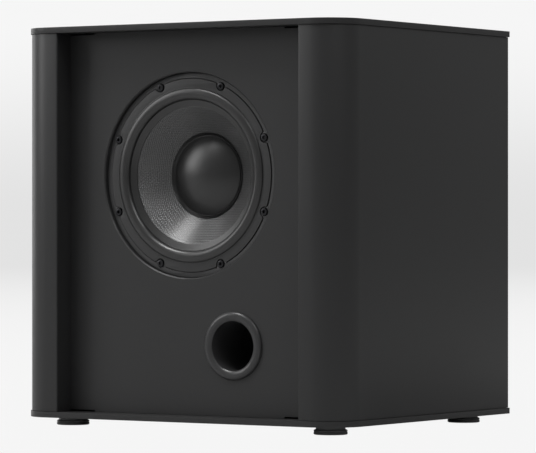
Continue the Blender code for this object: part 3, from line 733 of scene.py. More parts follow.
def scatter_tree():
    """Boxes of many sizes on a board, scattered with a fixed seed."""
    graph, given = geometry_graph("Parts on a board", [
        ("Geometry", "NodeSocketGeometry", None),
        ("Density", "NodeSocketFloat", 2500.0),
        ("Spacing", "NodeSocketFloat", 0.009),
        ("Smallest", "NodeSocketVector", (0.003, 0.002, 0.001)),
        ("Largest", "NodeSocketVector", (0.009, 0.005, 0.008)),
        ("Seed", "NodeSocketInt", 11),
        ("Finish", "NodeSocketMaterial", None),
    ])
    points = graph.node("GeometryNodeDistributePointsOnFaces", {"distribute_method": "POISSON"}, {
        "Mesh": given["Geometry"], "Distance Min": given["Spacing"],
        "Density Max": given["Density"], "Seed": given["Seed"],
    }, "Points")
    size = graph.node("FunctionNodeRandomValue", {"data_type": "FLOAT_VECTOR"}, {
        "Min": given["Smallest"], "Max": given["Largest"], "Seed": given["Seed"],
    }, "Value")
    cube = graph.node("GeometryNodeMeshCube", None, {"Size": (1.0, 1.0, 1.0)}, "Mesh")
    raised = graph.node("GeometryNodeTransform", None, {
        "Geometry": cube, "Translation": (0.0, 0.0, 0.5),
    })
    copies = graph.node("GeometryNodeInstanceOnPoints", None, {
        "Points": points, "Instance": raised, "Scale": size,
    })
    return finish_tree(graph, copies, given["Finish"])


def grown(tree, mesh=None, part=None, **inputs):
    """Run a Geometry Nodes tree on a mesh and give the plain result; the part is used up."""
    host = link(bpy.data.objects.new("host", mesh or bpy.data.meshes.new("host")))
    template = link(bpy.data.objects.new("template", part)) if part else None
    modifier = host.modifiers.new("grow", "NODES")
    modifier.node_group = tree
    if template:
        inputs["Part"] = template
    for item in tree.interface.items_tree:
        if item.in_out == "INPUT" and item.name in inputs:
            modifier[item.identifier] = inputs[item.name]
    result = evaluated(host)
    if template:
        drop(template)
    return result


# ------------------------------------------------------------------------ sizes
PLATE_CORNER = 37.0            # radius of the plates' two front corners
PLATE = 6.0
OVERHANG = 1.2
BOARD = 18.0
GAP = 0.3
REBATE_RADIUS = 103.6          # driver, depths from the baffle face, positive outwards
REBATE_DEPTH = 12.3
BAFFLE_HOLE = 91.2
FLANGE_RADIUS = 103.0
FLANGE_FACE = -7.5
SCREW_CIRCLE = 96.3
SCREW_COUNT = 8
SCREW_BORE = 2.3
HEAD_RECESS = 4.3
RIM_FACE = -4.9                # raised rim of the flange round the trim ring
RIM_GAP = 0.8
TRIM_RADIUS = 97.3
TRIM_INNER = 88.6
TRIM_FACE = -4.0
ROLL_OUTER = 88.0
ROLL_INNER = 76.0
ROLL_CREST = -1.0
ROLL_BASE = -6.6
ROLL_WALL = 0.8
CONE_EDGE = 69.7
CONE_EDGE_Z = -10.4
CONE_SLOPE = 0.9
CONE_RIM = (75.4, -8.4)
NECK_RADIUS = 25.7
CAP_RIM = 43.2
DOME_RADIUS = 39.7
DOME_BASE = -34.5
DOME_TOP = -21.5
POLE_TOP = -74.0
PORT_BORE = 25.0
PORT_LIP = 34.3
PORT_PROUD = 3.5
PORT_END = -175.0              # inner end of the tube
BOARD_FRONT = -30.0            # face of the amplifier's board that carries its parts
AMP_PLATE = 3.0
KNOB_TOP = 13.3
POINTER_TURN = 150.0           # the knobs' pointers rest at seven o'clock, seen from behind
DIAL_SWEEP = 300.0
ROUND = 192                    # steps round the driver
SMALL_ROUND = 48


def length(name, description, default, lowest, highest):
    """Length setting, from millimetres."""
    return FloatProperty(
        name=name, description=description, default=default * MM, min=lowest * MM,
        max=highest * MM, unit="LENGTH", precision=5)


def number(name, description, default, lowest, highest):
    return IntProperty(
        name=name, description=description, default=default, min=lowest, max=highest)


def colour(name, description, default):
    return FloatVectorProperty(
        name=name, description=description, subtype="COLOR", default=default, min=0.0, max=1.0)


class SubwooferSizes(PropertyGroup):
    """Fine sizes that the frame leaves open."""

    plate_edge: length(
        "Plate edge", "Rounding of the edges of the top and bottom plates", 0.9, 0.1, 2.5)
    panel_edge: length(
        "Panel edge", "Rounding at the top and bottom of the side panels", 1.0, 0.1, 2.0)
    lip_edge: length("Lip edge", "Radius of the posts' edge beside the baffle", 1.5, 0.3, 4.0)
    rebate_chamfer: length("Rebate chamfer", "Chamfer round the driver's rebate", 1.1, 0.1, 1.5)
    notch_radius: length(
        "Notch radius", "Radius of the trim ring's notch at each screw", 5.0, 4.2, 6.0)
    weave_pitch: length("Weave pitch", "Distance between the threads of the cone", 1.7, 0.5, 4.0)
    knob_ribs: number("Knob ribs", "Ribs round each control knob", 24, 6, 48)
    scale_marks: number("Scale marks", "Marks printed round each control knob", 11, 2, 21)
    winding_turns: number("Winding turns", "Tape turns seen round the transformer", 40, 12, 80)


class SubwooferColours(PropertyGroup):
    """Colours of the finishes."""

    lacquer: colour("Lacquer", "Satin lacquer of the cabinet", (0.024, 0.024, 0.0245))
    baffle: colour("Baffle paint", "Paint of the baffle", (0.024, 0.024, 0.0245))
    trim: colour("Trim rubber", "Rubber of the driver's trim ring", (0.037, 0.037, 0.0375))
    surround: colour(
        "Surround rubber", "Rubber of the driver's surround", (0.015, 0.015, 0.0152))
    cone: colour("Cone", "Woven fibre of the cone", (0.036, 0.036, 0.0366))
    dust_cap: colour("Dust cap", "Satin plastic of the dust cap", (0.006, 0.006, 0.0062))
    casting: colour("Casting", "Coating of the driver's basket", (0.05, 0.05, 0.051))
    moulding: colour("Mouldings", "Plastic of the port, knobs and switches", (0.043, 0.043, 0.044))
    feet: colour("Feet", "Plastic of the feet", (0.26, 0.26, 0.262))
    powder_coat: colour("Powder coat", "Coating of the amplifier's plate", (0.018, 0.018, 0.0185))
    ink: colour("Ink", "Printed marks on the amplifier", (0.62, 0.62, 0.60))
    lamp: colour("Lamp", "Lens of the power lamp", (0.05, 0.16, 0.42))


def sizes():
    return bpy.context.scene.subwoofer_sizes


def colours():
    return bpy.context.scene.subwoofer_colours


def lacquer_look():
    return finish("satin_black_lacquer", lacquer, colours().lacquer, 0.40)


def black_plastic():
    return finish("black_moulding", moulding, colours().moulding, 0.45)


def ink_look():
    return finish("printed_ink", print_ink, colours().ink, 0.6)


def nickel_look():
    return finish("nickel_plating", plated, (0.62, 0.60, 0.54), 0.28)


def steel_look():
    return finish("zinc_plated_steel", plated, (0.50, 0.50, 0.51), 0.34, brushed=0.1)


def black_steel():
    return finish("black_steel", plated, (0.045, 0.045, 0.048), 0.38)


def grey_plastic():
    return finish("switch_grey", moulding, (0.05, 0.05, 0.052), 0.5)


# ---------------------------------------------------------------- simple solids
def block(bottom, top, bevel=0.0, segments=2):
    """Block between two corners, in millimetres."""
    bottom, top = Vector(bottom), Vector(top)
    mesh = bpy.data.meshes.new("block")
    work = bmesh.new()
    bmesh.ops.create_cube(work, size=1.0)
    bmesh.ops.scale(work, vec=(top - bottom) * MM, verts=work.verts)
    bmesh.ops.translate(work, vec=(top + bottom) / 2 * MM, verts=work.verts)
    work.to_mesh(mesh)
    work.free()
    return bevelled(mesh, bevel, segments) if bevel else mesh


def rod(radius, bottom, top, steps=SMALL_ROUND, edge=0.0):
    """Cylinder about Z, with its edges rounded where asked for."""
    profile = [(0.0, top), (radius, top), (radius, bottom), (0.0, bottom)]
    if edge:
        profile = eased(profile, edge, 3, closed=False)
    return revolved(profile, steps, closed=False)


def at(mesh, x=0.0, y=0.0, z=0.0, turn=0.0):
    """Move a mesh, after a turn about its own Z in degrees."""
    return placed(mesh, moved(x, y, z) @ turned_about(turn, "Z"))


def screw_turns():
    return [360.0 * (index + 0.5) / SCREW_COUNT for index in range(SCREW_COUNT)]


def screw_bores(radius, bottom, top, steps):
    """A rod at each of the driver's screws, to cut with."""
    return joined(*[
        placed(rod(radius, bottom, top, steps), turned_about(angle, "Z") @ moved(SCREW_CIRCLE))
        for angle in screw_turns()
    ])


def cone_height(radius):
    """Front surface of the cone at a radius."""
    return CONE_EDGE_Z - (CONE_EDGE - radius) * CONE_SLOPE


# ---------------------------------------------------------------------- cabinet
def cabinet_plate(node, upper):
    """Lacquered plate with two round front corners, on the board that closes the cabinet."""
    bottom, top = low(node), high(node)
    outline = [
        (bottom.x, top.y),
        *arc(bottom.x + PLATE_CORNER, bottom.y + PLATE_CORNER, PLATE_CORNER, 180, 270, 40),
        *arc(top.x - PLATE_CORNER, bottom.y + PLATE_CORNER, PLATE_CORNER, 270, 360, 40),
        (top.x, top.y),
    ]
    plate_low = top.z - PLATE if upper else bottom.z
    plate = slab(outline, plate_low, plate_low + PLATE, bevel=sizes().plate_edge / MM, segments=4)
    inner = (low("baffle").x, high("baffle").y + GAP)
    outer = (high("baffle").x, low("back_panel").y - GAP)
    if upper:
        board = block((*inner, bottom.z), (*outer, plate_low + 1))
    else:
        board = block((*inner, plate_low + PLATE - 1), (*outer, top.z))
    piece(node, soft(carved(plate, [board], "UNION")), lacquer_look(), [node])


def side_panel(node, side):
    """Side panel that turns into the rounded post beside the baffle."""
    edges = sorted((abs(low(node).x), abs(high(node).x)))
    post, outer = edges
    front, back = low(node).y, high(node).y
    radius = PLATE_CORNER - OVERHANG
    easing = sizes().lip_edge / MM
    behind = BAFFLE_FACE - GAP
    outline = [
        (outer, back), *reversed(arc(outer - radius, front + radius, radius, -90, 0, 40)),
        *reversed(arc(post + easing, front + easing, easing, 180, 270, 6)),
        (post, behind), (outer - BOARD, behind), (outer - BOARD, back),
    ]
    outline = [(side * x, y) for x, y in outline]
    mesh = slab(outline, low(node).z, high(node).z, bevel=sizes().panel_edge / MM, segments=3)
    piece(node, soft(mesh), lacquer_look(), [node])


def baffle_board():
    """Baffle with the driver's rebate, the port's hole and four slots for a grille."""
    bottom, top = low("baffle"), high("baffle")
    chamfer = sizes().rebate_chamfer / MM
    depth = top.y - bottom.y
    above = 3
    driver_hole = revolved([
        (0, above), (REBATE_RADIUS + chamfer + above, above), (REBATE_RADIUS + chamfer, 0.0),
        (REBATE_RADIUS, -chamfer), (REBATE_RADIUS, -REBATE_DEPTH), (BAFFLE_HOLE, -REBATE_DEPTH),
        (BAFFLE_HOLE, -depth - 2), (0, -depth - 2),
    ], ROUND, closed=False)
    cutters = [
        placed(driver_hole, DRIVER), placed(rod(28.6, -depth - 2, 2, 96), PORT),
        placed(joined(*[
            at(rod(SCREW_BORE, -depth - 2, -8, 12), SCREW_CIRCLE * math.cos(math.radians(angle)),
               SCREW_CIRCLE * math.sin(math.radians(angle)))
            for angle in screw_turns()
        ]), DRIVER),
    ]
    slot_height, slot_depth = 1.7, 12.0
    slot_in, slot_out = 116.0, 149.5
    for side in (-1, 1):
        ends = sorted((side * slot_in, side * slot_out))
        for edge in ((bottom.z - 1, bottom.z + slot_height), (top.z - slot_height, top.z + 1)):
            cutters.append(block((ends[0], bottom.y - 2, edge[0]),
                                 (ends[1], bottom.y + slot_depth, edge[1])))
    mesh = carved(block(bottom, top), cutters)
    look = finish("baffle_paint", lacquer, colours().baffle, 0.44, grain=0.5)
    piece("baffle", soft(mesh), look, ["baffle"])


def back_board():
    """Back panel with the amplifier's cutout."""
    bottom, top = low("back_panel"), high("back_panel")
    width, height = top.x - bottom.x, top.z - bottom.z
    near = (AMP.inverted() @ (top * MM)).z / MM
    cutout = rectangle(176.0, 236.0, 2.0, steps=3)
    mesh = slab(rectangle(width, height, 1.0, steps=3), near - BOARD, near,
                holes=[cutout], bevel=0.8, segments=3)
    look = finish("back_lacquer", lacquer, colours().baffle, 0.5, grain=0.8)
    stand_in("back_panel", mesh, AMP, look)


def brace_board():
    """Window brace between the side panels, with a hole for the port's tube."""
    bottom, top = low("window_brace"), high("window_brace")
    first = DRIVER.inverted() @ (bottom * MM) / MM
    last = DRIVER.inverted() @ (top * MM) / MM
    port = DRIVER.inverted() @ PORT @ Vector((0, 0, 0)) / MM
    board = rectangle(last.x - first.x, last.y - first.y, 0.6, y=(last.y + first.y) / 2, steps=2)
    window = rectangle(250.0, 190.0, 40.0, y=-5.0, steps=10)
    mesh = slab(board, last.z, first.z, holes=[window, circle(29.6, port.x, port.y)], bevel=0.5)
    look = finish("stained_fibreboard", fibreboard, (0.24, 0.15, 0.085), 0.8)
    stand_in("window_brace", mesh, DRIVER, look)


# ------------------------------------------------------------------------- feet
def foot_profile(top):
    """Outline of half a foot, from its stem down to its sole and up its screw's recess."""
    stem, rim, waist = 14.7, 16.8, 16.8 - 0.8
    groove_start, groove_end = 2.9, 2.9 + 0.5
    recess, bolt, seat, sole = 6.2, 2.5, 6.0, 0.35
    return eased([
        (stem, top), (stem, 5.4), (rim, 4.4), (rim, groove_end), (waist, groove_end),
        (waist, groove_start), (rim, groove_start), (rim, sole), (recess, sole), (recess, seat),
        (bolt, seat), (bolt, top),
    ], 0.35, 2)


def foot(node):
    """Turned foot with a screw recess below, and the ring it stands on."""
    centre = middle(node)
    mesh = revolved(foot_profile(high(node).z), 72)
    look = finish("foot_moulding", moulding, colours().feet, 0.42)
    there = moved(centre.x, centre.y)
    stand_in(node, mesh, there, look)
    sole = revolved(eased([(16.2, 0.3), (16.0, 0.0), (7.0, 0.0), (6.8, 0.3)], 0.15, 2), 72)
    pad = finish("sole_rubber", rubber, (0.012, 0.012, 0.012), 0.75)
    extra(f"{node}_sole", sole, there, pad, SLOT_OF[node])


def pan_screw(radius, height, shank, length):
    """Pan-head screw about Z with its head upwards and a cross recess."""
    head = revolved([
        (0.0, height), (radius * 0.45, height * 0.97), (radius * 0.8, height * 0.72),
        (radius, height * 0.3), (radius, 0.0), (shank, 0.0), (shank, -length), (0.0, -length),
    ], 20, closed=False)
    arm = radius * 0.5
    slot = radius * 0.12
    cross = carved(block((-arm, -slot, height * 0.35), (arm, slot, height * 2)),
                   [block((-slot, -arm, height * 0.35), (slot, arm, height * 2))], "UNION")
    return carved(head, [cross])


def corner_points(places):
    """Mesh of loose corners at places in millimetres."""
    mesh = bpy.data.meshes.new("places")
    mesh.from_pydata([Vector(place) * MM for place in places], [], [])
    return mesh


def foot_screws():
    """A screw up through each foot, seen in its recess from below."""
    nodes = [node for node in SLOT_OF if node.startswith("foot_")]
    look = black_steel()
    screw = placed(pan_screw(4.6, 2.6, 2.1, 5.0), turned_about(180, "X"))
    places = [(middle(node).x, middle(node).y, 5.7) for node in nodes]
    mesh = grown(points_tree(), corner_points(places), screw, Finish=look)
    extra("foot_screws", mesh, moved(), look, "black_steel")


# ------------------------------------------------------------------------- port
def port_mouth():
    """Flared mouth with a rounded lip, plugged into the tube."""
    centre = (PORT_BORE + PORT_LIP) / 2
    reach = (PORT_LIP - PORT_BORE) / 2
    steps = 18
    outer_bend = [
        (centre + reach * math.sin(angle), GAP + (PORT_PROUD - GAP) * math.cos(angle))
        for angle in (math.radians(90 * index / steps) for index in range(steps))
    ]
    bend_reach, bend_base = 6.0, -1.5
    crisp = 39.2               # where the bend meets the bore, in degrees
    inner_bend = [
        (centre - bend_reach * math.cos(angle),
         bend_base + (PORT_PROUD - bend_base) * math.sin(angle))
        for angle in (
            math.radians(crisp + (90 - crisp) * index / steps) for index in range(steps))
    ]
    sleeve, plug, shoulder, inner_end = 28.2, 26.7, -30.0, -50.0
    profile = [
        *outer_bend, (PORT_LIP, GAP), (sleeve, GAP), (sleeve, shoulder), (plug, shoulder - GAP),
        (plug, inner_end), (PORT_BORE, inner_end), *inner_bend,
    ]
    look = finish("port_satin", moulding, colours().moulding, 0.30, texture=0.006, specular=0.5)
    stand_in("port_mouth", revolved(profile, 144), PORT, look)
    start = shoulder - 0.7
    inside, outside = 27.1, 29.0
    card = eased([(outside, start), (outside, PORT_END), (inside, PORT_END), (inside, start)],
                 0.3, 2)
    black_card = finish("black_card", fibreboard, (0.03, 0.03, 0.03), 0.8)
    stand_in("port_tube", revolved(card, 96), PORT, black_card)


# ----------------------------------------------------------------------- driver
def driver_basket():
    """Cast basket: a flange with screw holes, a tapered shell with six windows."""
    profile = eased([
        (FLANGE_RADIUS, FLANGE_FACE), (FLANGE_RADIUS, -12.0), (90.4, -12.0), (88.0, -17.0),
        (66.0, -50.0), (66.0, -60.0), (58.0, POLE_TOP + GAP), (29.5, POLE_TOP + GAP), (29.5, -70.5),
        (54.5, -70.5), (58.0, -60.0), (58.0, -56.0), (63.0, -56.0), (63.0, -51.0), (84.8, -17.5),
        (86.2, -12.0), (86.2, FLANGE_FACE),
    ], 0.6, 2)
    windows = joined(*[
        placed(bevelled(block((40, -22, -47), (100, 22, -20)), 3.0, 3), turned_about(angle, "Z"))
        for angle in range(-90, 270, 60)
    ])
    shell = carved(revolved(profile, 144), [flange_rim()], "UNION")
    mesh = carved(shell, [screw_bores(SCREW_BORE, -14, -5, 16), windows])
    look = finish("basket_coating", cast_coating, colours().casting, 0.45)
    stand_in("driver_basket", mesh, DRIVER, look)


def trim_outline(notch, apart=0.0):
    """Outer edge of the trim ring, dipping round each screw and flowing back in a curve."""
    points = []
    steps = 720
    half = math.pi / SCREW_COUNT
    ease_start, ease_end = notch * 0.8, notch * 1.35
    for index in range(steps):
        angle = math.tau * index / steps
        away = (angle % (2 * half)) - half
        across = abs(SCREW_CIRCLE * math.sin(away))
        radius = TRIM_RADIUS
        if across < ease_end:
            bite = min(across, ease_start)
            dip = SCREW_CIRCLE * math.cos(away) - math.sqrt(notch ** 2 - bite ** 2)
            t = max(0.0, (across - ease_start) / (ease_end - ease_start))
            radius = dip + (TRIM_RADIUS - dip) * t * t * (3 - 2 * t)
        radius += apart
        points.append((radius * math.cos(angle), radius * math.sin(angle)))
    return points


def trim_ring():
    """Rubber ring on the flange, its outer edge rounded and notched at each screw."""
    outline = trim_outline(sizes().notch_radius / MM)
    mesh = slab(outline, FLANGE_FACE + GAP, TRIM_FACE, bevel=0.5, segments=3)
    mesh = carved(mesh, [
        rod(TRIM_INNER, FLANGE_FACE - 2, TRIM_FACE + 2, ROUND),
        rod(91.4, FLANGE_FACE - 2, TRIM_FACE - 2.1, ROUND),
    ])
    look = finish("trim_rubber", rubber, colours().trim, 0.46)
    stand_in("trim_ring", mesh, DRIVER, look)


def flange_rim():
    """Raised rim of the flange round the trim ring, with a recess for each screw's head."""
    notch = sizes().notch_radius / MM
    rim = slab(circle(FLANGE_RADIUS, steps=ROUND), FLANGE_FACE - 0.5, RIM_FACE,
               holes=[trim_outline(notch, apart=RIM_GAP)], bevel=0.25)
    return carved(rim, [screw_bores(HEAD_RECESS, FLANGE_FACE, 0, 40)])


def driver_screws():
    """Socket-head screws round the flange, one for each of the trim ring's notches."""
    seat = FLANGE_FACE + GAP
    top = seat + 3.7
    screw = revolved([
        (0.0, top), (3.2, top), (3.5, top - 0.15), (3.6, top - 0.5), (3.6, seat), (1.95, seat),
        (1.95, -23.6), (1.6, -24.0), (0.0, -24.0),
    ], 32, closed=False)
    socket = slab(circle(1.75, steps=6), top - 2.2, top + 1)
    screw = carved(screw, [socket])
    look = black_steel()
    mesh = grown(ring_tree(), None, screw, Count=SCREW_COUNT, Radius=SCREW_CIRCLE * MM,
                 **{"First Angle": math.pi / SCREW_COUNT, "Random Turn": 0.5}, Finish=look)
    nodes = [node for node in SLOT_OF if node.startswith("driver_screw_")]
    piece("driver_screws", soft(placed(mesh, DRIVER)), look, nodes)


def roll_arc(start, end, inside, base=ROLL_BASE, steps=36):
    """Stretch of the half roll between two angles; the inside is a wall's thickness below."""
    centre = (ROLL_OUTER + ROLL_INNER) / 2
    lowered = ROLL_WALL if inside else 0.0
    reach = (ROLL_OUTER - ROLL_INNER) / 2 - lowered
    points = []
    for step in range(steps + 1):
        angle = math.radians(start + (end - start) * step / steps)
        points.append((centre + reach * math.cos(angle),
                       base - lowered + (ROLL_CREST - base) * math.sin(angle)))
    return points


def surround():
    """Half-roll surround in two closed halves that meet at the crest."""
    look = finish("surround_rubber", rubber, colours().surround, 0.36, specular=0.85)
    foot_of_roll = TRIM_FACE + 0.12
    outer = [
        *reversed(roll_arc(4, 90, False, foot_of_roll)), (88.2, foot_of_roll - 0.04),
        (TRIM_INNER - 0.04, TRIM_FACE), (TRIM_INNER - 0.04, ROLL_BASE + 0.2),
        (91.1, ROLL_BASE + 0.2), (91.1, ROLL_BASE - 0.55), *roll_arc(0, 90, True),
    ]
    inner = [
        *roll_arc(90, 180, True), (CONE_EDGE, CONE_EDGE_Z + 0.3), (CONE_EDGE, CONE_EDGE_Z + 1.0),
        *reversed(roll_arc(90, 180, False)),
    ]
    piece("surround_outer", soft(placed(revolved(outer, ROUND), DRIVER)), look, ["surround"])
    stretched_piece(
        "surround_inner", soft(placed(revolved(inner, ROUND), DRIVER)), look, "surround")


def cone():
    """Woven cone with a flat flange under the surround's glue edge."""
    wall = 1.2
    rim, rim_height = CONE_RIM
    neck = NECK_RADIUS
    collar = neck + 1.6
    rows = 24
    face = [
        (radius, cone_height(radius) - 0.1)
        for radius in (neck + (CONE_EDGE - neck) * step / rows for step in range(rows + 1))
    ]
    profile = [
        (rim, rim_height), (rim, rim_height - 0.9), (CONE_EDGE, CONE_EDGE_Z - wall),
        (collar, cone_height(collar) - wall), (collar, cone_height(neck) - wall - 2.0),
        (neck, cone_height(neck) - wall - 2.0), *face,
    ]
    look = finish("woven_cone", woven, colours().cone, 0.34, sizes().weave_pitch / MM)
    stand_in("cone", revolved(profile, ROUND), DRIVER, look)


def dust_cap():
    """Dust cap: a shallow dome inside a raised glue rim."""
    wall = 0.8
    rise = DOME_TOP - DOME_BASE
    ball = (DOME_RADIUS ** 2 + rise ** 2) / (2 * rise)
    spread = math.asin(DOME_RADIUS / ball)
    rings = 40
    outside, inside = [], []
    for ring in range(rings + 1):
        angle = spread * ring / rings
        for points, depth in ((outside, 0.0), (inside, wall)):
            radius, top = ball - depth, DOME_TOP - depth
            points.append((radius * math.sin(angle), top - radius * (1 - math.cos(angle))))
    rim = eased([
        outside[-1], (40.0, DOME_BASE - 1.4), (40.9, cone_height(40.9) + 0.45),
        (42.4, cone_height(42.4) + 0.75), (CAP_RIM, cone_height(CAP_RIM) + 1.3),
        (CAP_RIM, cone_height(CAP_RIM) + 0.3), (40.2, cone_height(40.2) + 0.3), inside[-1],
    ], 0.35, 3, closed=False)
    mesh = revolved([*outside[:-1], *rim, *reversed(inside[:-1])], ROUND, closed=False)
    look = finish("dust_cap_satin", moulding, colours().dust_cap, 0.38, texture=0.004, specular=0.9)
    stand_in("dust_cap", mesh, DRIVER, look)


# ------------------------------------------------------------------------ motor
def spider():
    """Corrugated suspension in wedges round the coil."""
    look = finish("resin_cloth", resin_cloth, (0.42, 0.29, 0.12), 0.85)
    centre = -54.9
    wall = 0.6
    outer, inner = 62.6, NECK_RADIUS + 0.1
    rows = 60
    upper = []
    for row in range(rows + 1):
        radius = outer + (inner - outer) * row / rows
        fade = min(1.0, max(0.0, (56.0 - radius) / 5)) * min(1.0, max(0.0, (radius - 29.0) / 4))
        upper.append((radius, centre + 1.5 * fade * math.sin(math.tau * (56.0 - radius) / 8.0)))
    lower = [(radius, height - wall) for radius, height in upper]
    wedges = 12
    steps = 8
    for wedge in range(wedges):
        mesh = wedge_solid([upper[0], *lower, *reversed(upper[1:])], 360 / wedges, steps)
        turn = turned_about(360 * wedge / wedges, "Z")
        stretched_piece(
            f"spider_{wedge + 1}", soft(placed(mesh, DRIVER @ turn)), look, "spider")


def wedge_solid(profile, sweep, steps):
    """Closed wedge of a turned profile, centred on +X."""
    mesh = bpy.data.meshes.new("wedge")
    points = []
    for step in range(steps + 1):
        angle = math.radians(-sweep / 2 + sweep * step / steps)
        points += [
            (radius * MM * math.cos(angle), radius * MM * math.sin(angle), height * MM)
            for radius, height in profile
        ]
    count = len(profile)
    faces = [tuple(range(count)), tuple(steps * count + index for index in reversed(range(count)))]
    for step in range(steps):
        for index in range(count):
            after = (index + 1) % count
            faces.append((step * count + index, (step + 1) * count + index,
                          (step + 1) * count + after, step * count + after))
    mesh.from_pydata(points, [], faces)
    return cleaned(mesh, recalculate=True)


def motor():
    """Voice coil, pole plate, magnet and yoke."""
    film = finish("former_film", lens, (0.42, 0.28, 0.10), 0.35)
    copper = finish("copper_wire", wound, (0.70, 0.32, 0.16), 0.3, 0.5)
    magnet = finish("ferrite", ferrite, (0.045, 0.045, 0.048), 0.62)
    turned_pieces = {
        "coil_former": (film, [(25.3, -46.5), (25.3, -91.0), (24.9, -91.0), (24.9, -46.5)], 0.1),
        "voice_coil": (copper, [(27.0, -66.0), (27.0, -90.0), (25.65, -90.0), (25.65, -66.0)], 0.3),
        "front_pole_plate": (steel_look(), [
            (56.0, POLE_TOP), (56.0, POLE_TOP - 8), (28.0, POLE_TOP - 8), (28.0, POLE_TOP),
        ], 0.8),
        "magnet": (magnet, [(60.0, -82.3), (60.0, -101.7), (32.0, -101.7), (32.0, -82.3)], 1.2),
        "pole_yoke": (steel_look(), [
            (8.0, POLE_TOP + 1), (24.0, POLE_TOP + 1), (24.0, -102.0), (56.0, -102.0),
            (56.0, -110.0), (8.0, -110.0),
        ], 0.8),
    }
    for node, (look, profile, edge) in turned_pieces.items():
        mesh = revolved(eased(profile, edge, 3), 96)
        stand_in(node, mesh, DRIVER, look)


def terminals():
    """Terminal strip with two rivets, and the braided leads to the cone."""
    board = finish("paper_laminate", fibreboard, (0.26, 0.14, 0.05), 0.6)
    strip = block((-11, -70.3, -61.0), (11, -66.4, -50.5), 0.4)
    stand_in("terminal_strip", strip, DRIVER, board)
    rivets = joined(*[at(rod(1.6, -50.5, -49.9, 24, 0.2), side * 6.0, -68.4) for side in (-1, 1)])
    extra("terminal_rivets", rivets, DRIVER, nickel_look(), "nickel_plating")
    braid = finish("tinsel_braid", wound, (0.72, 0.55, 0.34), 0.38, 0.6)
    for side, node in ((-1, "tinsel_lead_left"), (1, "tinsel_lead_right")):
        x = side * 6.0
        lead = tube([
            (x, -68.4, -49.4), (x, -68.0, -44.5), (x, -62.0, -40.5), (x, -53.0, -42.5),
            (x, -44.0, -43.5), (x, -37.5, cone_height(36.5) - 3.4),
        ], 0.7)
        stretched_piece(
            node, soft(placed(lead, DRIVER)), braid, node)


# ------------------------------------------------------------- amplifier outside
def amp_size():
    size = high("amp_plate") - low("amp_plate")
    return size.x, size.z


def amp_screw_places():
    width, height = amp_size()
    inset = 6.0
    x, y = width / 2 - inset, height / 2 - inset
    places = [(side * x, row * y / 3, 0.0) for side in (-1, 1) for row in (-3, -1, 1, 3)]
    return [*places, (0.0, -y, 0.0), (0.0, y, 0.0)]


def amp_plate():
    """Powder-coated plate with its openings."""
    width, height = amp_size()
    openings = [
        rectangle(27.6, 31.6, 0.6, *at_amp("mains_inlet"), steps=2),
        rectangle(13.6, 19.6, 0.6, *at_amp("power_switch_frame"), steps=2),
        rectangle(14.6, 7.6, 0.6, *at_amp("phase_switch"), steps=2),
        rectangle(17.6, 7.6, 0.6, *at_amp("mode_switch"), steps=2),
    ]
    for node, radius in (("level_pot", 4.8), ("crossover_pot", 4.8), ("led_lens", 2.4),
                         ("left_input_jack", 4.6), ("right_input_jack", 4.6)):
        openings.append(circle(radius, *at_amp(node), steps=36))
    for x, y, _ in amp_screw_places():
        openings.append(circle(2.2, x, y, steps=16))
    outline = rectangle(width, height, 6.0, steps=10)
    mesh = slab(outline, -AMP_PLATE, 0.0, holes=openings, bevel=0.25)
    look = finish("amplifier_powder_coat", powder_coat, colours().powder_coat, 0.55)
    stand_in("amp_plate", mesh, AMP, look)


def amp_screws():
    """Pan-head screws that hold the amplifier in the back panel."""
    look = black_steel()
    mesh = grown(points_tree(), corner_points(amp_screw_places()), pan_screw(3.6, 2.0, 1.8, 14.0),
                 Finish=look)
    extra("amp_screws", mesh, AMP, look, "black_steel")


def dial_marks():
    """Marks printed on the plate: scales, switch ends, lamp and a thin frame line."""
    look = ink_look()
    marks = sizes().scale_marks
    ink, half_line = 0.08, 0.25
    shells = []
    for node in ("level_pot", "crossover_pot"):
        tick = block((-1.6, -half_line, 0.0), (1.6, half_line, ink))
        ring = grown(ring_tree(), None, tick, Count=marks, Radius=14.0 * MM, Finish=look, **{
            "First Angle": math.radians(90 + POINTER_TURN),
            "Sweep": -math.radians(DIAL_SWEEP) * marks / (marks - 1),
        })
        shells.append(at(ring, *at_amp(node)))
    for node, reach in (("phase_switch", 12.0), ("mode_switch", 13.5)):
        x, y = at_amp(node)
        for side in (-1, 1):
            end = x + side * reach
            shells.append(block((end - 1.5, y - half_line, 0.0), (end + 1.5, y + half_line, ink)))
    lamp_ring = slab(circle(6.2, steps=48), 0.0, ink, holes=[circle(5.8, steps=48)])
    shells.append(at(lamp_ring, *at_amp("led_lens")))
    for group_y, half_height in ((58.0, 52.0), (-24.0, 20.0)):
        height = half_height * 2
        outer = rectangle(150.0, height, 5.0, 0.0, group_y)
        inner = rectangle(149.2, height - 0.8, 4.6, 0.0, group_y)
        shells.append(slab(outer, 0.0, 0.06, holes=[inner]))
    extra("printed_marks", joined(*shells), AMP, look, "amp_powder_coat")


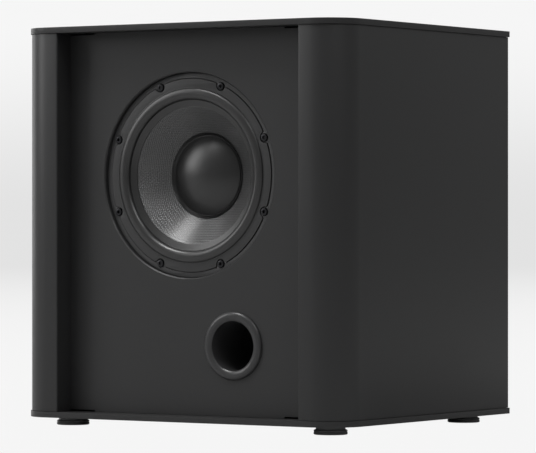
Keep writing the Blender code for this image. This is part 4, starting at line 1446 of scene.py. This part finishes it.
def knob(name):
    """Ribbed knob with a white pointer, its pot and its shaft; the knob and shaft turn."""
    ribs = sizes().knob_ribs
    centre = at_amp(f"{name}_pot")
    there = AMP @ moved(*centre)
    skirt, base, bore, bore_end = 9.3, 2.0, 3.5, 10.9
    body = revolved([
        (0.0, KNOB_TOP - 0.35), (6.4, KNOB_TOP - 0.25), (7.6, KNOB_TOP), (8.3, KNOB_TOP - 0.15),
        (8.8, KNOB_TOP - 0.7), (skirt, base * 2), (skirt, base), (bore, base), (bore, bore_end),
        (0.0, bore_end),
    ], 96, closed=False)
    rib = slab(circle(0.62, steps=10), 2.4, KNOB_TOP - 1.6, bevel=0.2)
    ring = grown(ring_tree(), None, rib, Count=ribs, Radius=9.15 * MM, Finish=black_plastic())
    turn = turned_about(POINTER_TURN, "Z")
    groove = placed(block((-0.7, 3.5, KNOB_TOP - 0.9), (0.7, 10.5, KNOB_TOP + 1)), turn)
    body = carved(body, [ring], "UNION")
    body = carved(body, [groove])
    stand_in(f"{name}_knob", body, there, black_plastic())
    line = placed(block((-0.55, 3.7, KNOB_TOP - 0.9), (0.55, 8.2, KNOB_TOP - 0.45), 0.1), turn)
    extra(f"{name}_pointer", line, there, ink_look(), "knob_plastic", body=f"{name}_control")
    shaft_look = finish("shaft_aluminium", plated, (0.62, 0.62, 0.63), 0.32, brushed=0.1)
    shaft = carved(rod(3.0, -6.6, 10.4, 40, 0.3), [block((1.6, -4, 3.0), (4, 4, 12))])
    stand_in(f"{name}_shaft", shaft, there, shaft_look)
    bush, hole, bush_top, shoulder, back = 4.5, 3.4, 1.4, -6.0, -15.0
    can = revolved(eased([
        (bush, bush_top), (bush, shoulder), (8.2, shoulder), (8.2, back), (0.5, back),
        (0.5, shoulder - 1), (hole, shoulder - 1), (hole, bush_top),
    ], 0.3, 2), SMALL_ROUND)
    stand_in(f"{name}_pot", can, there, steel_look())


def slide_switch(name, travel):
    """Recessed slide switch with a ribbed nub that moves in its slot."""
    x, y = at_amp(f"{name}_switch")
    reach = travel / 2 + 2.7
    body = carved(block((x - reach - 2.4, y - 3.5, -9.0), (x + reach + 2.4, y + 3.5, 0.8), 0.3),
                  [block((x - reach, y - 2.4, -5.0), (x + reach, y + 2.4, 3.0))])
    stand_in(f"{name}_switch", body, AMP, black_plastic())
    start = x - travel / 2
    nub = block((start - 2.2, y - 2.0, -4.6), (start + 2.2, y + 2.0, 2.4), 0.25)
    grooves = [block((start - 1.5 + step, y - 3, 1.9), (start - 1.1 + step, y + 3, 4))
               for step in (0.0, 0.9, 1.8, 2.7)]
    nub = carved(nub, grooves)
    stand_in(f"{name}_slider", nub, AMP, grey_plastic())


def mains_inlet():
    """Three-pin inlet with cut top corners, and a fuse drawer below it."""
    x, y = at_amp("mains_inlet")
    flange = slab(rectangle(31.0, 35.0, 3.0, x, y), GAP, 2.6, bevel=0.5, segments=3)
    body = block((x - 13.4, y - 15.4, -22.0), (x + 13.4, y + 15.4, GAP + 0.2), 0.3)
    middle_y = y + 5.0
    cut = 4.0
    socket = eased([
        (x - 12, middle_y - 8), (x + 12, middle_y - 8), (x + 12, middle_y + 8 - cut),
        (x + 12 - cut, middle_y + 8), (x - 12 + cut, middle_y + 8), (x - 12, middle_y + 8 - cut),
    ], 1.2, 3)
    drawer_y = y - 9.5
    shell = carved(carved(body, [flange], "UNION"), [
        slab(socket, -16.0, 6.0), block((x - 11.5, drawer_y - 4.0, -16.0),
                                        (x + 11.5, drawer_y + 4.0, 6.0)),
    ])
    stand_in("mains_inlet", shell, AMP, black_plastic())
    pins = joined(*[
        block((x + pin_x - 1.0, middle_y + pin_y - 2.0, -16.5),
              (x + pin_x + 1.0, middle_y + pin_y + 2.0, -4.0), 0.4)
        for pin_x, pin_y in ((-7.0, 0.0), (0.0, 4.0), (7.0, 0.0))
    ])
    extra("inlet_pins", pins, AMP, nickel_look(), "nickel_plating")
    drawer = block((x - 11.0, drawer_y - 3.5, -15.4), (x + 11.0, drawer_y + 3.5, 3.6), 0.4)
    drawer = carved(drawer, [block((x - 3.5, drawer_y - 4.5, 2.4), (x + 3.5, drawer_y - 1.8, 5.0))])
    stand_in("fuse_drawer", drawer, AMP, grey_plastic())


def power_switch():
    """Rocker in its frame, with a bar and a ring for on and off."""
    x, y = at_amp("power_switch_frame")
    flange = slab(rectangle(15.2, 21.2, 1.4, x, y), GAP, 2.0, bevel=0.4, segments=3)
    body = block((x - 6.5, y - 9.5, -16.0), (x + 6.5, y + 9.5, GAP + 0.2), 0.3)
    room = block((x - 5.7, y - 8.8, -8.0), (x + 5.7, y + 8.8, 5.0))
    shell = carved(carved(body, [flange], "UNION"), [room])
    stand_in("power_switch_frame", shell, AMP, black_plastic())
    tilt = 8.0
    there = AMP @ moved(x, y, -1.0) @ turned_about(tilt, "X")
    half = 8.0
    dished = [(place, 2.2 + 1.2 * (place / half) ** 2) for place in range(8, -9, -2)]
    side = [(-half, -2.5), (half, -2.5), *dished]
    upright = turned_about(90, "Y") @ turned_about(90, "Z")
    rocker = placed(slab(side, -5.2, 5.2, bevel=0.5, segments=3), upright)
    stand_in("power_rocker", rocker, there, black_plastic())
    off = at(slab(circle(1.7, steps=40), 2.6, 3.02, holes=[circle(1.25, steps=40)]), 0.0, -5.0)
    on = at(block((-0.25, -1.7, 2.6), (0.25, 1.7, 3.02)), 0.0, 5.0)
    extra("rocker_marks", joined(off, on), there, ink_look(), "switch_nylon", body="power_rocker")


def input_jacks():
    """Two input sockets, each with a coloured ring of insulation."""
    rings = {
        "left_input_jack": finish("white_insulator", moulding, (0.62, 0.62, 0.60), 0.4),
        "right_input_jack": finish("red_insulator", moulding, (0.42, 0.012, 0.010), 0.4),
    }
    for node, look in rings.items():
        barrel, nut, shank, pin, bore = 4.15, 6.5, 4.2, 0.6, 3.2
        front, nut_face, back, well = 9.0, 2.6, -12.0, 1.0
        shell = revolved(eased([
            (barrel, front), (barrel, nut_face), (nut, nut_face), (nut, GAP), (shank, GAP),
            (shank, back), (pin, back), (pin, well), (bore, well), (bore, front),
        ], 0.3, 2), SMALL_ROUND)
        there = AMP @ moved(*at_amp(node))
        stand_in(node, shell, there, nickel_look())
        outside, inside, near, far = 3.15, 1.7, 8.2, 1.05
        plug = eased([(outside, near), (outside, far), (inside, far), (inside, near)], 0.2, 2)
        extra(f"{node}_insulator", revolved(plug, SMALL_ROUND), there, look, "nickel_plating")


def power_lamp():
    """Domed lens of the lamp."""
    mesh = revolved([
        (0.0, 2.4), (0.6, 2.3), (1.1, 2.05), (1.5, 1.65), (1.8, 1.2), (2.0, 0.6), (2.0, -6.0),
        (0.0, -6.0),
    ], 32, closed=False)
    look = finish("lamp_lens", lens, colours().lamp, 0.12)
    stand_in("led_lens", mesh, AMP @ moved(*at_amp("led_lens")), look)


# -------------------------------------------------------------- amplifier inside
def amp_housing():
    """Folded steel housing behind the plate, with a hole for the speaker's leads."""
    front = -AMP_PLATE - GAP
    back = front - 80
    sheet = 1.5
    x, y = 85, 115
    housing = carved(block((-x, -y, back), (x, y, front), 1.5, 3), [
        block((sheet - x, sheet - y, back + sheet), (x - sheet, y - sheet, front + 5)),
        at(rod(5.0, back - 5, back + 5, 24), 0, 40),
    ])
    stand_in("amp_housing", housing, AMP, steel_look())


def circuit_board():
    """Board in the housing, with small parts scattered over its face."""
    x, bottom, top, margin = 70, -30, 100, 6
    look = finish("circuit_board", laminate, (0.02, 0.12, 0.05), 0.45)
    board = block((-x, bottom, BOARD_FRONT - 1.6), (x, top, BOARD_FRONT), 0.2)
    stand_in("amp_board", board, AMP, look)
    right, first, last = x - margin, bottom + margin, top - margin
    field = bpy.data.meshes.new("field")
    field.from_pydata([
        Vector((*corner, BOARD_FRONT)) * MM
        for corner in ((-right, first), (right, first), (right, last), (-right, last))
    ], [], [(0, 1, 2, 3)])
    part_look = finish("component_epoxy", moulding, (0.03, 0.03, 0.032), 0.4)
    scattered = grown(scatter_tree(), field, Finish=part_look)
    extra("board_parts", scattered, AMP, part_look, "circuit_board")


def transformer():
    """Toroid wrapped in tape, with the turns of the tape standing out of it."""
    inner, outer, front, back, cut = 14.4, 46.6, -34.4, -59.6, 3.0
    core = revolved(eased([
        (outer - cut, front), (outer, front - cut), (outer, back + cut), (outer - cut, back),
        (inner + cut, back), (inner, back + cut), (inner, front - cut), (inner + cut, front),
    ], 1.5, 3), 96)
    tape = finish("transformer_tape", insulation, (0.46, 0.34, 0.07), 0.5)
    there = (0.0, -62.0)
    stand_in("transformer", at(core, *there), AMP, tape)
    turn = carved(block((-16.6, -1.9, back - 0.4), (16.6, 1.9, front + 0.4)),
                  [block((-16.2, -3, back), (16.2, 3, front))])
    turns = grown(ring_tree(), None, bevelled(turn, 0.12, 1), Count=sizes().winding_turns,
                  Radius=30.5 * MM, Finish=tape)
    extra("transformer_turns", at(turns, *there), AMP, tape, "transformer_tape")


def filter_capacitor():
    """Can in a plastic sleeve, standing on the board, with a crimped waist."""
    radius, foot, top, waist = 13.0, BOARD_FRONT - 2, BOARD_FRONT - 38, BOARD_FRONT - 35.2
    can = revolved(eased([
        (0, foot), (radius, foot), (radius, waist + 1.2), (radius - 0.8, waist),
        (radius, waist - 1.2), (radius, top), (0, top),
    ], 0.6, 2, closed=False), SMALL_ROUND, closed=False)
    sleeve = finish("capacitor_sleeve", insulation, (0.02, 0.03, 0.09), 0.35)
    stand_in("filter_capacitor", at(can, -34, 62), AMP, sleeve)


def speaker_leads():
    """Two leads from the amplifier's housing to the driver's terminals."""
    strip_y = BAFFLE_FACE + 56.0
    strip_z = middle("trim_ring").z - 72.2
    box_y = high("back_panel").y - 80.0
    lead_z = middle("amp_plate").z + 40.0
    colours_of = {"speaker_lead_red": (-1, (0.30, 0.012, 0.010)),
                  "speaker_lead_black": (1, (0.010, 0.010, 0.010))}
    for node, (side, colour) in colours_of.items():
        x, end = side * 2.4, side * 6.0
        lead = tube([
            (x, box_y + 3.0, lead_z), (x, box_y - 14.0, lead_z),
            (x * 3, box_y - 36.0, lead_z - 24.0), (x * 4, box_y - 56.0, lead_z - 59.0),
            (x * 3, box_y - 86.0, lead_z - 77.0),
            (end, strip_y + 42.0, strip_z - 12.0), (end, strip_y + 16.0, strip_z - 6.0),
            (end, strip_y, strip_z),
        ], 1.5)
        piece(node, soft(lead), finish(f"{node}_skin", insulation, colour, 0.42), [node])


# ------------------------------------------------------------------------ stage
FLOOR_TONE = (0.915, 0.915, 0.915, 1.0)
HORIZON_TONE = (0.765, 0.765, 0.765, 1.0)
SKY_TONE = (0.92, 0.92, 0.92, 1.0)


def camera_ray_mix(graph, lit, shown, sink, socket):
    """The stage shows one surface to the camera and lights the object with another."""
    path = graph.node("ShaderNodeLightPath", output="Is Camera Ray")
    mixed = graph.node("ShaderNodeMixShader", None, {"Fac": path, 1: lit, 2: shown}, "Shader")
    graph.tree.links.new(mixed.socket, sink.inputs[socket])


def floor():
    """Wide pale floor that fades a little with distance."""
    look = Finish("pale_floor", (0.55, 0.55, 0.55), 0.6, specular=0.2)
    away = look.vector("LENGTH", look.where, output="Value")
    fade = look.node("ShaderNodeMapRange", {"interpolation_type": "SMOOTHSTEP"}, {
        "Value": away, "From Min": 0.6, "From Max": 14.0, "To Min": 0.0, "To Max": 1.0,
    }, "Result")
    shown = look.node("ShaderNodeEmission", None, {
        "Color": look.mix(fade, FLOOR_TONE, HORIZON_TONE),
    }, "Emission")
    output = look.tree.nodes["Material Output"]
    lit = Value(look, look.shader.outputs["BSDF"])
    camera_ray_mix(look, lit, shown, output, "Surface")
    mesh = bpy.data.meshes.new("floor")
    reach = 60.0
    mesh.from_pydata([
        (-reach, -reach, 0), (reach, -reach, 0), (reach, reach, 0), (-reach, reach, 0),
    ], [], [(0, 1, 2, 3)])
    mesh.materials.append(look.material)
    link(bpy.data.objects.new("floor", mesh))


def studio_world():
    """Pale surroundings, brighter overhead than at the horizon."""
    world = bpy.data.worlds.new("studio")
    world.use_nodes = True
    bpy.context.scene.world = world
    graph = Graph(world.node_tree)
    way = graph.node("ShaderNodeTexCoord", output="Generated")
    _, _, height = graph.parts(way)
    rise = graph.node("ShaderNodeMapRange", {"interpolation_type": "SMOOTHSTEP"}, {
        "Value": height, "From Min": 0.0, "From Max": 0.055, "To Min": 0.0, "To Max": 1.0,
    }, "Result")
    tone = graph.node("ShaderNodeMix", {"data_type": "RGBA"}, {
        "Factor_Float": rise, "A_Color": HORIZON_TONE, "B_Color": SKY_TONE,
    }, "Result_Color")
    shown = graph.node("ShaderNodeBackground", None, {"Color": tone, "Strength": 1.0}, "Background")
    lit = graph.node("ShaderNodeBackground", None, {
        "Color": (1.0, 1.0, 1.0, 1.0), "Strength": 0.23,
    }, "Background")
    camera_ray_mix(graph, lit, shown, world.node_tree.nodes["World Output"], "Surface")


def soft_box(name, place, aim, width, height, brightness):
    """Rectangular soft light; brightness is its radiance, so its power follows its size."""
    light = bpy.data.lights.new(name, "AREA")
    light.shape = "RECTANGLE"
    light.size = width
    light.size_y = height
    light.energy = brightness * math.pi * width * height
    obj = link(bpy.data.objects.new(name, light))
    obj.location = place
    obj.rotation_euler = (Vector(aim) - Vector(place)).to_track_quat("-Z", "Y").to_euler()
    obj.visible_camera = False


def studio_lights():
    """Key from the front left, one light above, two rims and a soft light on the right."""
    aim = (0.0, 0.0, 0.2)
    soft_box("key_softbox", (-3.1, -2.2, 1.8), aim, 1.6, 2.2, 3.3)
    soft_box("top_softbox", (-0.8, -1.1, 2.6), aim, 0.9, 0.9, 14.5)
    soft_box("left_softbox", (-2.8, 0.7, 0.8), aim, 1.2, 2.0, 1.5)
    soft_box("right_softbox", (1.7, -0.9, 2.4), aim, 1.2, 1.2, 4.2)
    soft_box("right_back_softbox", (2.0, 2.8, 2.8), aim, 2.2, 1.6, 0.7)


def studio_camera():
    """Long lens level with the middle of the cabinet, turned to its right front corner."""
    lens_data = bpy.data.cameras.new("camera")
    lens_data.lens = 240.4
    lens_data.sensor_width = 36.0
    lens_data.shift_x = -0.0016
    lens_data.shift_y = -0.01006
    camera = link(bpy.data.objects.new("camera", lens_data))
    camera.location = (2.0561, -3.1073, 0.2104)
    camera.rotation_euler = (math.pi / 2, 0.0, math.radians(33.496))
    bpy.context.scene.camera = camera
    bpy.context.scene.view_settings.view_transform = "Standard"


# -------------------------------------------------------------------- operators
class SUBWOOFER_OT_cabinet(Operator):
    """Build the lacquered plates and side panels, the baffle, the back and the brace"""

    bl_idname = "subwoofer.cabinet"
    bl_label = "Cabinet"

    def execute(self, context):
        cabinet_plate("bottom_plate", upper=False)
        cabinet_plate("top_plate", upper=True)
        side_panel("left_side_panel", -1)
        side_panel("right_side_panel", 1)
        baffle_board()
        back_board()
        brace_board()
        return {"FINISHED"}


class SUBWOOFER_OT_feet(Operator):
    """Build the four feet with their soles and screws"""

    bl_idname = "subwoofer.feet"
    bl_label = "Feet"

    def execute(self, context):
        for node in [node for node in SLOT_OF if node.startswith("foot_")]:
            foot(node)
        foot_screws()
        return {"FINISHED"}


class SUBWOOFER_OT_port(Operator):
    """Build the port's flared mouth and its tube"""

    bl_idname = "subwoofer.port"
    bl_label = "Port"

    def execute(self, context):
        port_mouth()
        return {"FINISHED"}


class SUBWOOFER_OT_driver_frame(Operator):
    """Build the driver's basket, trim ring and screws"""

    bl_idname = "subwoofer.driver_frame"
    bl_label = "Driver frame"

    def execute(self, context):
        driver_basket()
        trim_ring()
        driver_screws()
        return {"FINISHED"}


class SUBWOOFER_OT_diaphragm(Operator):
    """Build the surround, the woven cone and the dust cap"""

    bl_idname = "subwoofer.diaphragm"
    bl_label = "Diaphragm"

    def execute(self, context):
        surround()
        cone()
        dust_cap()
        return {"FINISHED"}


class SUBWOOFER_OT_motor(Operator):
    """Build the motor, the spider and the terminals"""

    bl_idname = "subwoofer.motor"
    bl_label = "Motor"

    def execute(self, context):
        spider()
        motor()
        terminals()
        return {"FINISHED"}


class SUBWOOFER_OT_amplifier_face(Operator):
    """Build the amplifier's plate, its screws and its printed marks"""

    bl_idname = "subwoofer.amplifier_face"
    bl_label = "Amplifier face"

    def execute(self, context):
        amp_plate()
        amp_screws()
        dial_marks()
        return {"FINISHED"}


class SUBWOOFER_OT_controls(Operator):
    """Build the knobs, slide switches, inlet, power switch, sockets and lamp"""

    bl_idname = "subwoofer.controls"
    bl_label = "Controls"

    def execute(self, context):
        knob("level")
        knob("crossover")
        slide_switch("phase", 3.0)
        slide_switch("mode", 6.0)
        mains_inlet()
        power_switch()
        input_jacks()
        power_lamp()
        return {"FINISHED"}


class SUBWOOFER_OT_electronics(Operator):
    """Build the amplifier's housing, board, transformer, capacitor and leads"""

    bl_idname = "subwoofer.electronics"
    bl_label = "Electronics"

    def execute(self, context):
        amp_housing()
        circuit_board()
        transformer()
        filter_capacitor()
        speaker_leads()
        return {"FINISHED"}


class SUBWOOFER_OT_stage(Operator):
    """Set the floor, the surroundings, the lights and the camera"""

    bl_idname = "subwoofer.stage"
    bl_label = "Stage"

    def execute(self, context):
        floor()
        studio_world()
        studio_lights()
        studio_camera()
        return {"FINISHED"}


class SUBWOOFER_PT_panel(Panel):
    """Sizes, colours and build steps of the subwoofer"""

    bl_label = "Subwoofer"
    bl_idname = "SUBWOOFER_PT_panel"
    bl_space_type = "VIEW_3D"
    bl_region_type = "UI"
    bl_category = "Subwoofer"

    def draw(self, context):
        column = self.layout.column()
        for settings in (context.scene.subwoofer_sizes, context.scene.subwoofer_colours):
            for name in settings.__annotations__:
                column.prop(settings, name)
        for operator in OPERATORS:
            column.operator(operator.bl_idname)


OPERATORS = (
    SUBWOOFER_OT_cabinet,
    SUBWOOFER_OT_feet,
    SUBWOOFER_OT_port,
    SUBWOOFER_OT_driver_frame,
    SUBWOOFER_OT_diaphragm,
    SUBWOOFER_OT_motor,
    SUBWOOFER_OT_amplifier_face,
    SUBWOOFER_OT_controls,
    SUBWOOFER_OT_electronics,
    SUBWOOFER_OT_stage,
)
CLASSES = (SubwooferSizes, SubwooferColours, *OPERATORS, SUBWOOFER_PT_panel)


def register():
    for cls in CLASSES:
        bpy.utils.register_class(cls)
    bpy.types.Scene.subwoofer_sizes = PointerProperty(type=SubwooferSizes)
    bpy.types.Scene.subwoofer_colours = PointerProperty(type=SubwooferColours)


def unregister():
    del bpy.types.Scene.subwoofer_colours
    del bpy.types.Scene.subwoofer_sizes
    for cls in reversed(CLASSES):
        bpy.utils.unregister_class(cls)


def main():
    """Build every piece in order."""
    register()
    bpy.ops.subwoofer.cabinet()
    bpy.ops.subwoofer.feet()
    bpy.ops.subwoofer.port()
    bpy.ops.subwoofer.driver_frame()
    bpy.ops.subwoofer.diaphragm()
    bpy.ops.subwoofer.motor()
    bpy.ops.subwoofer.amplifier_face()
    bpy.ops.subwoofer.controls()
    bpy.ops.subwoofer.electronics()
    bpy.ops.subwoofer.stage()


if __name__ == "__main__":
    main()
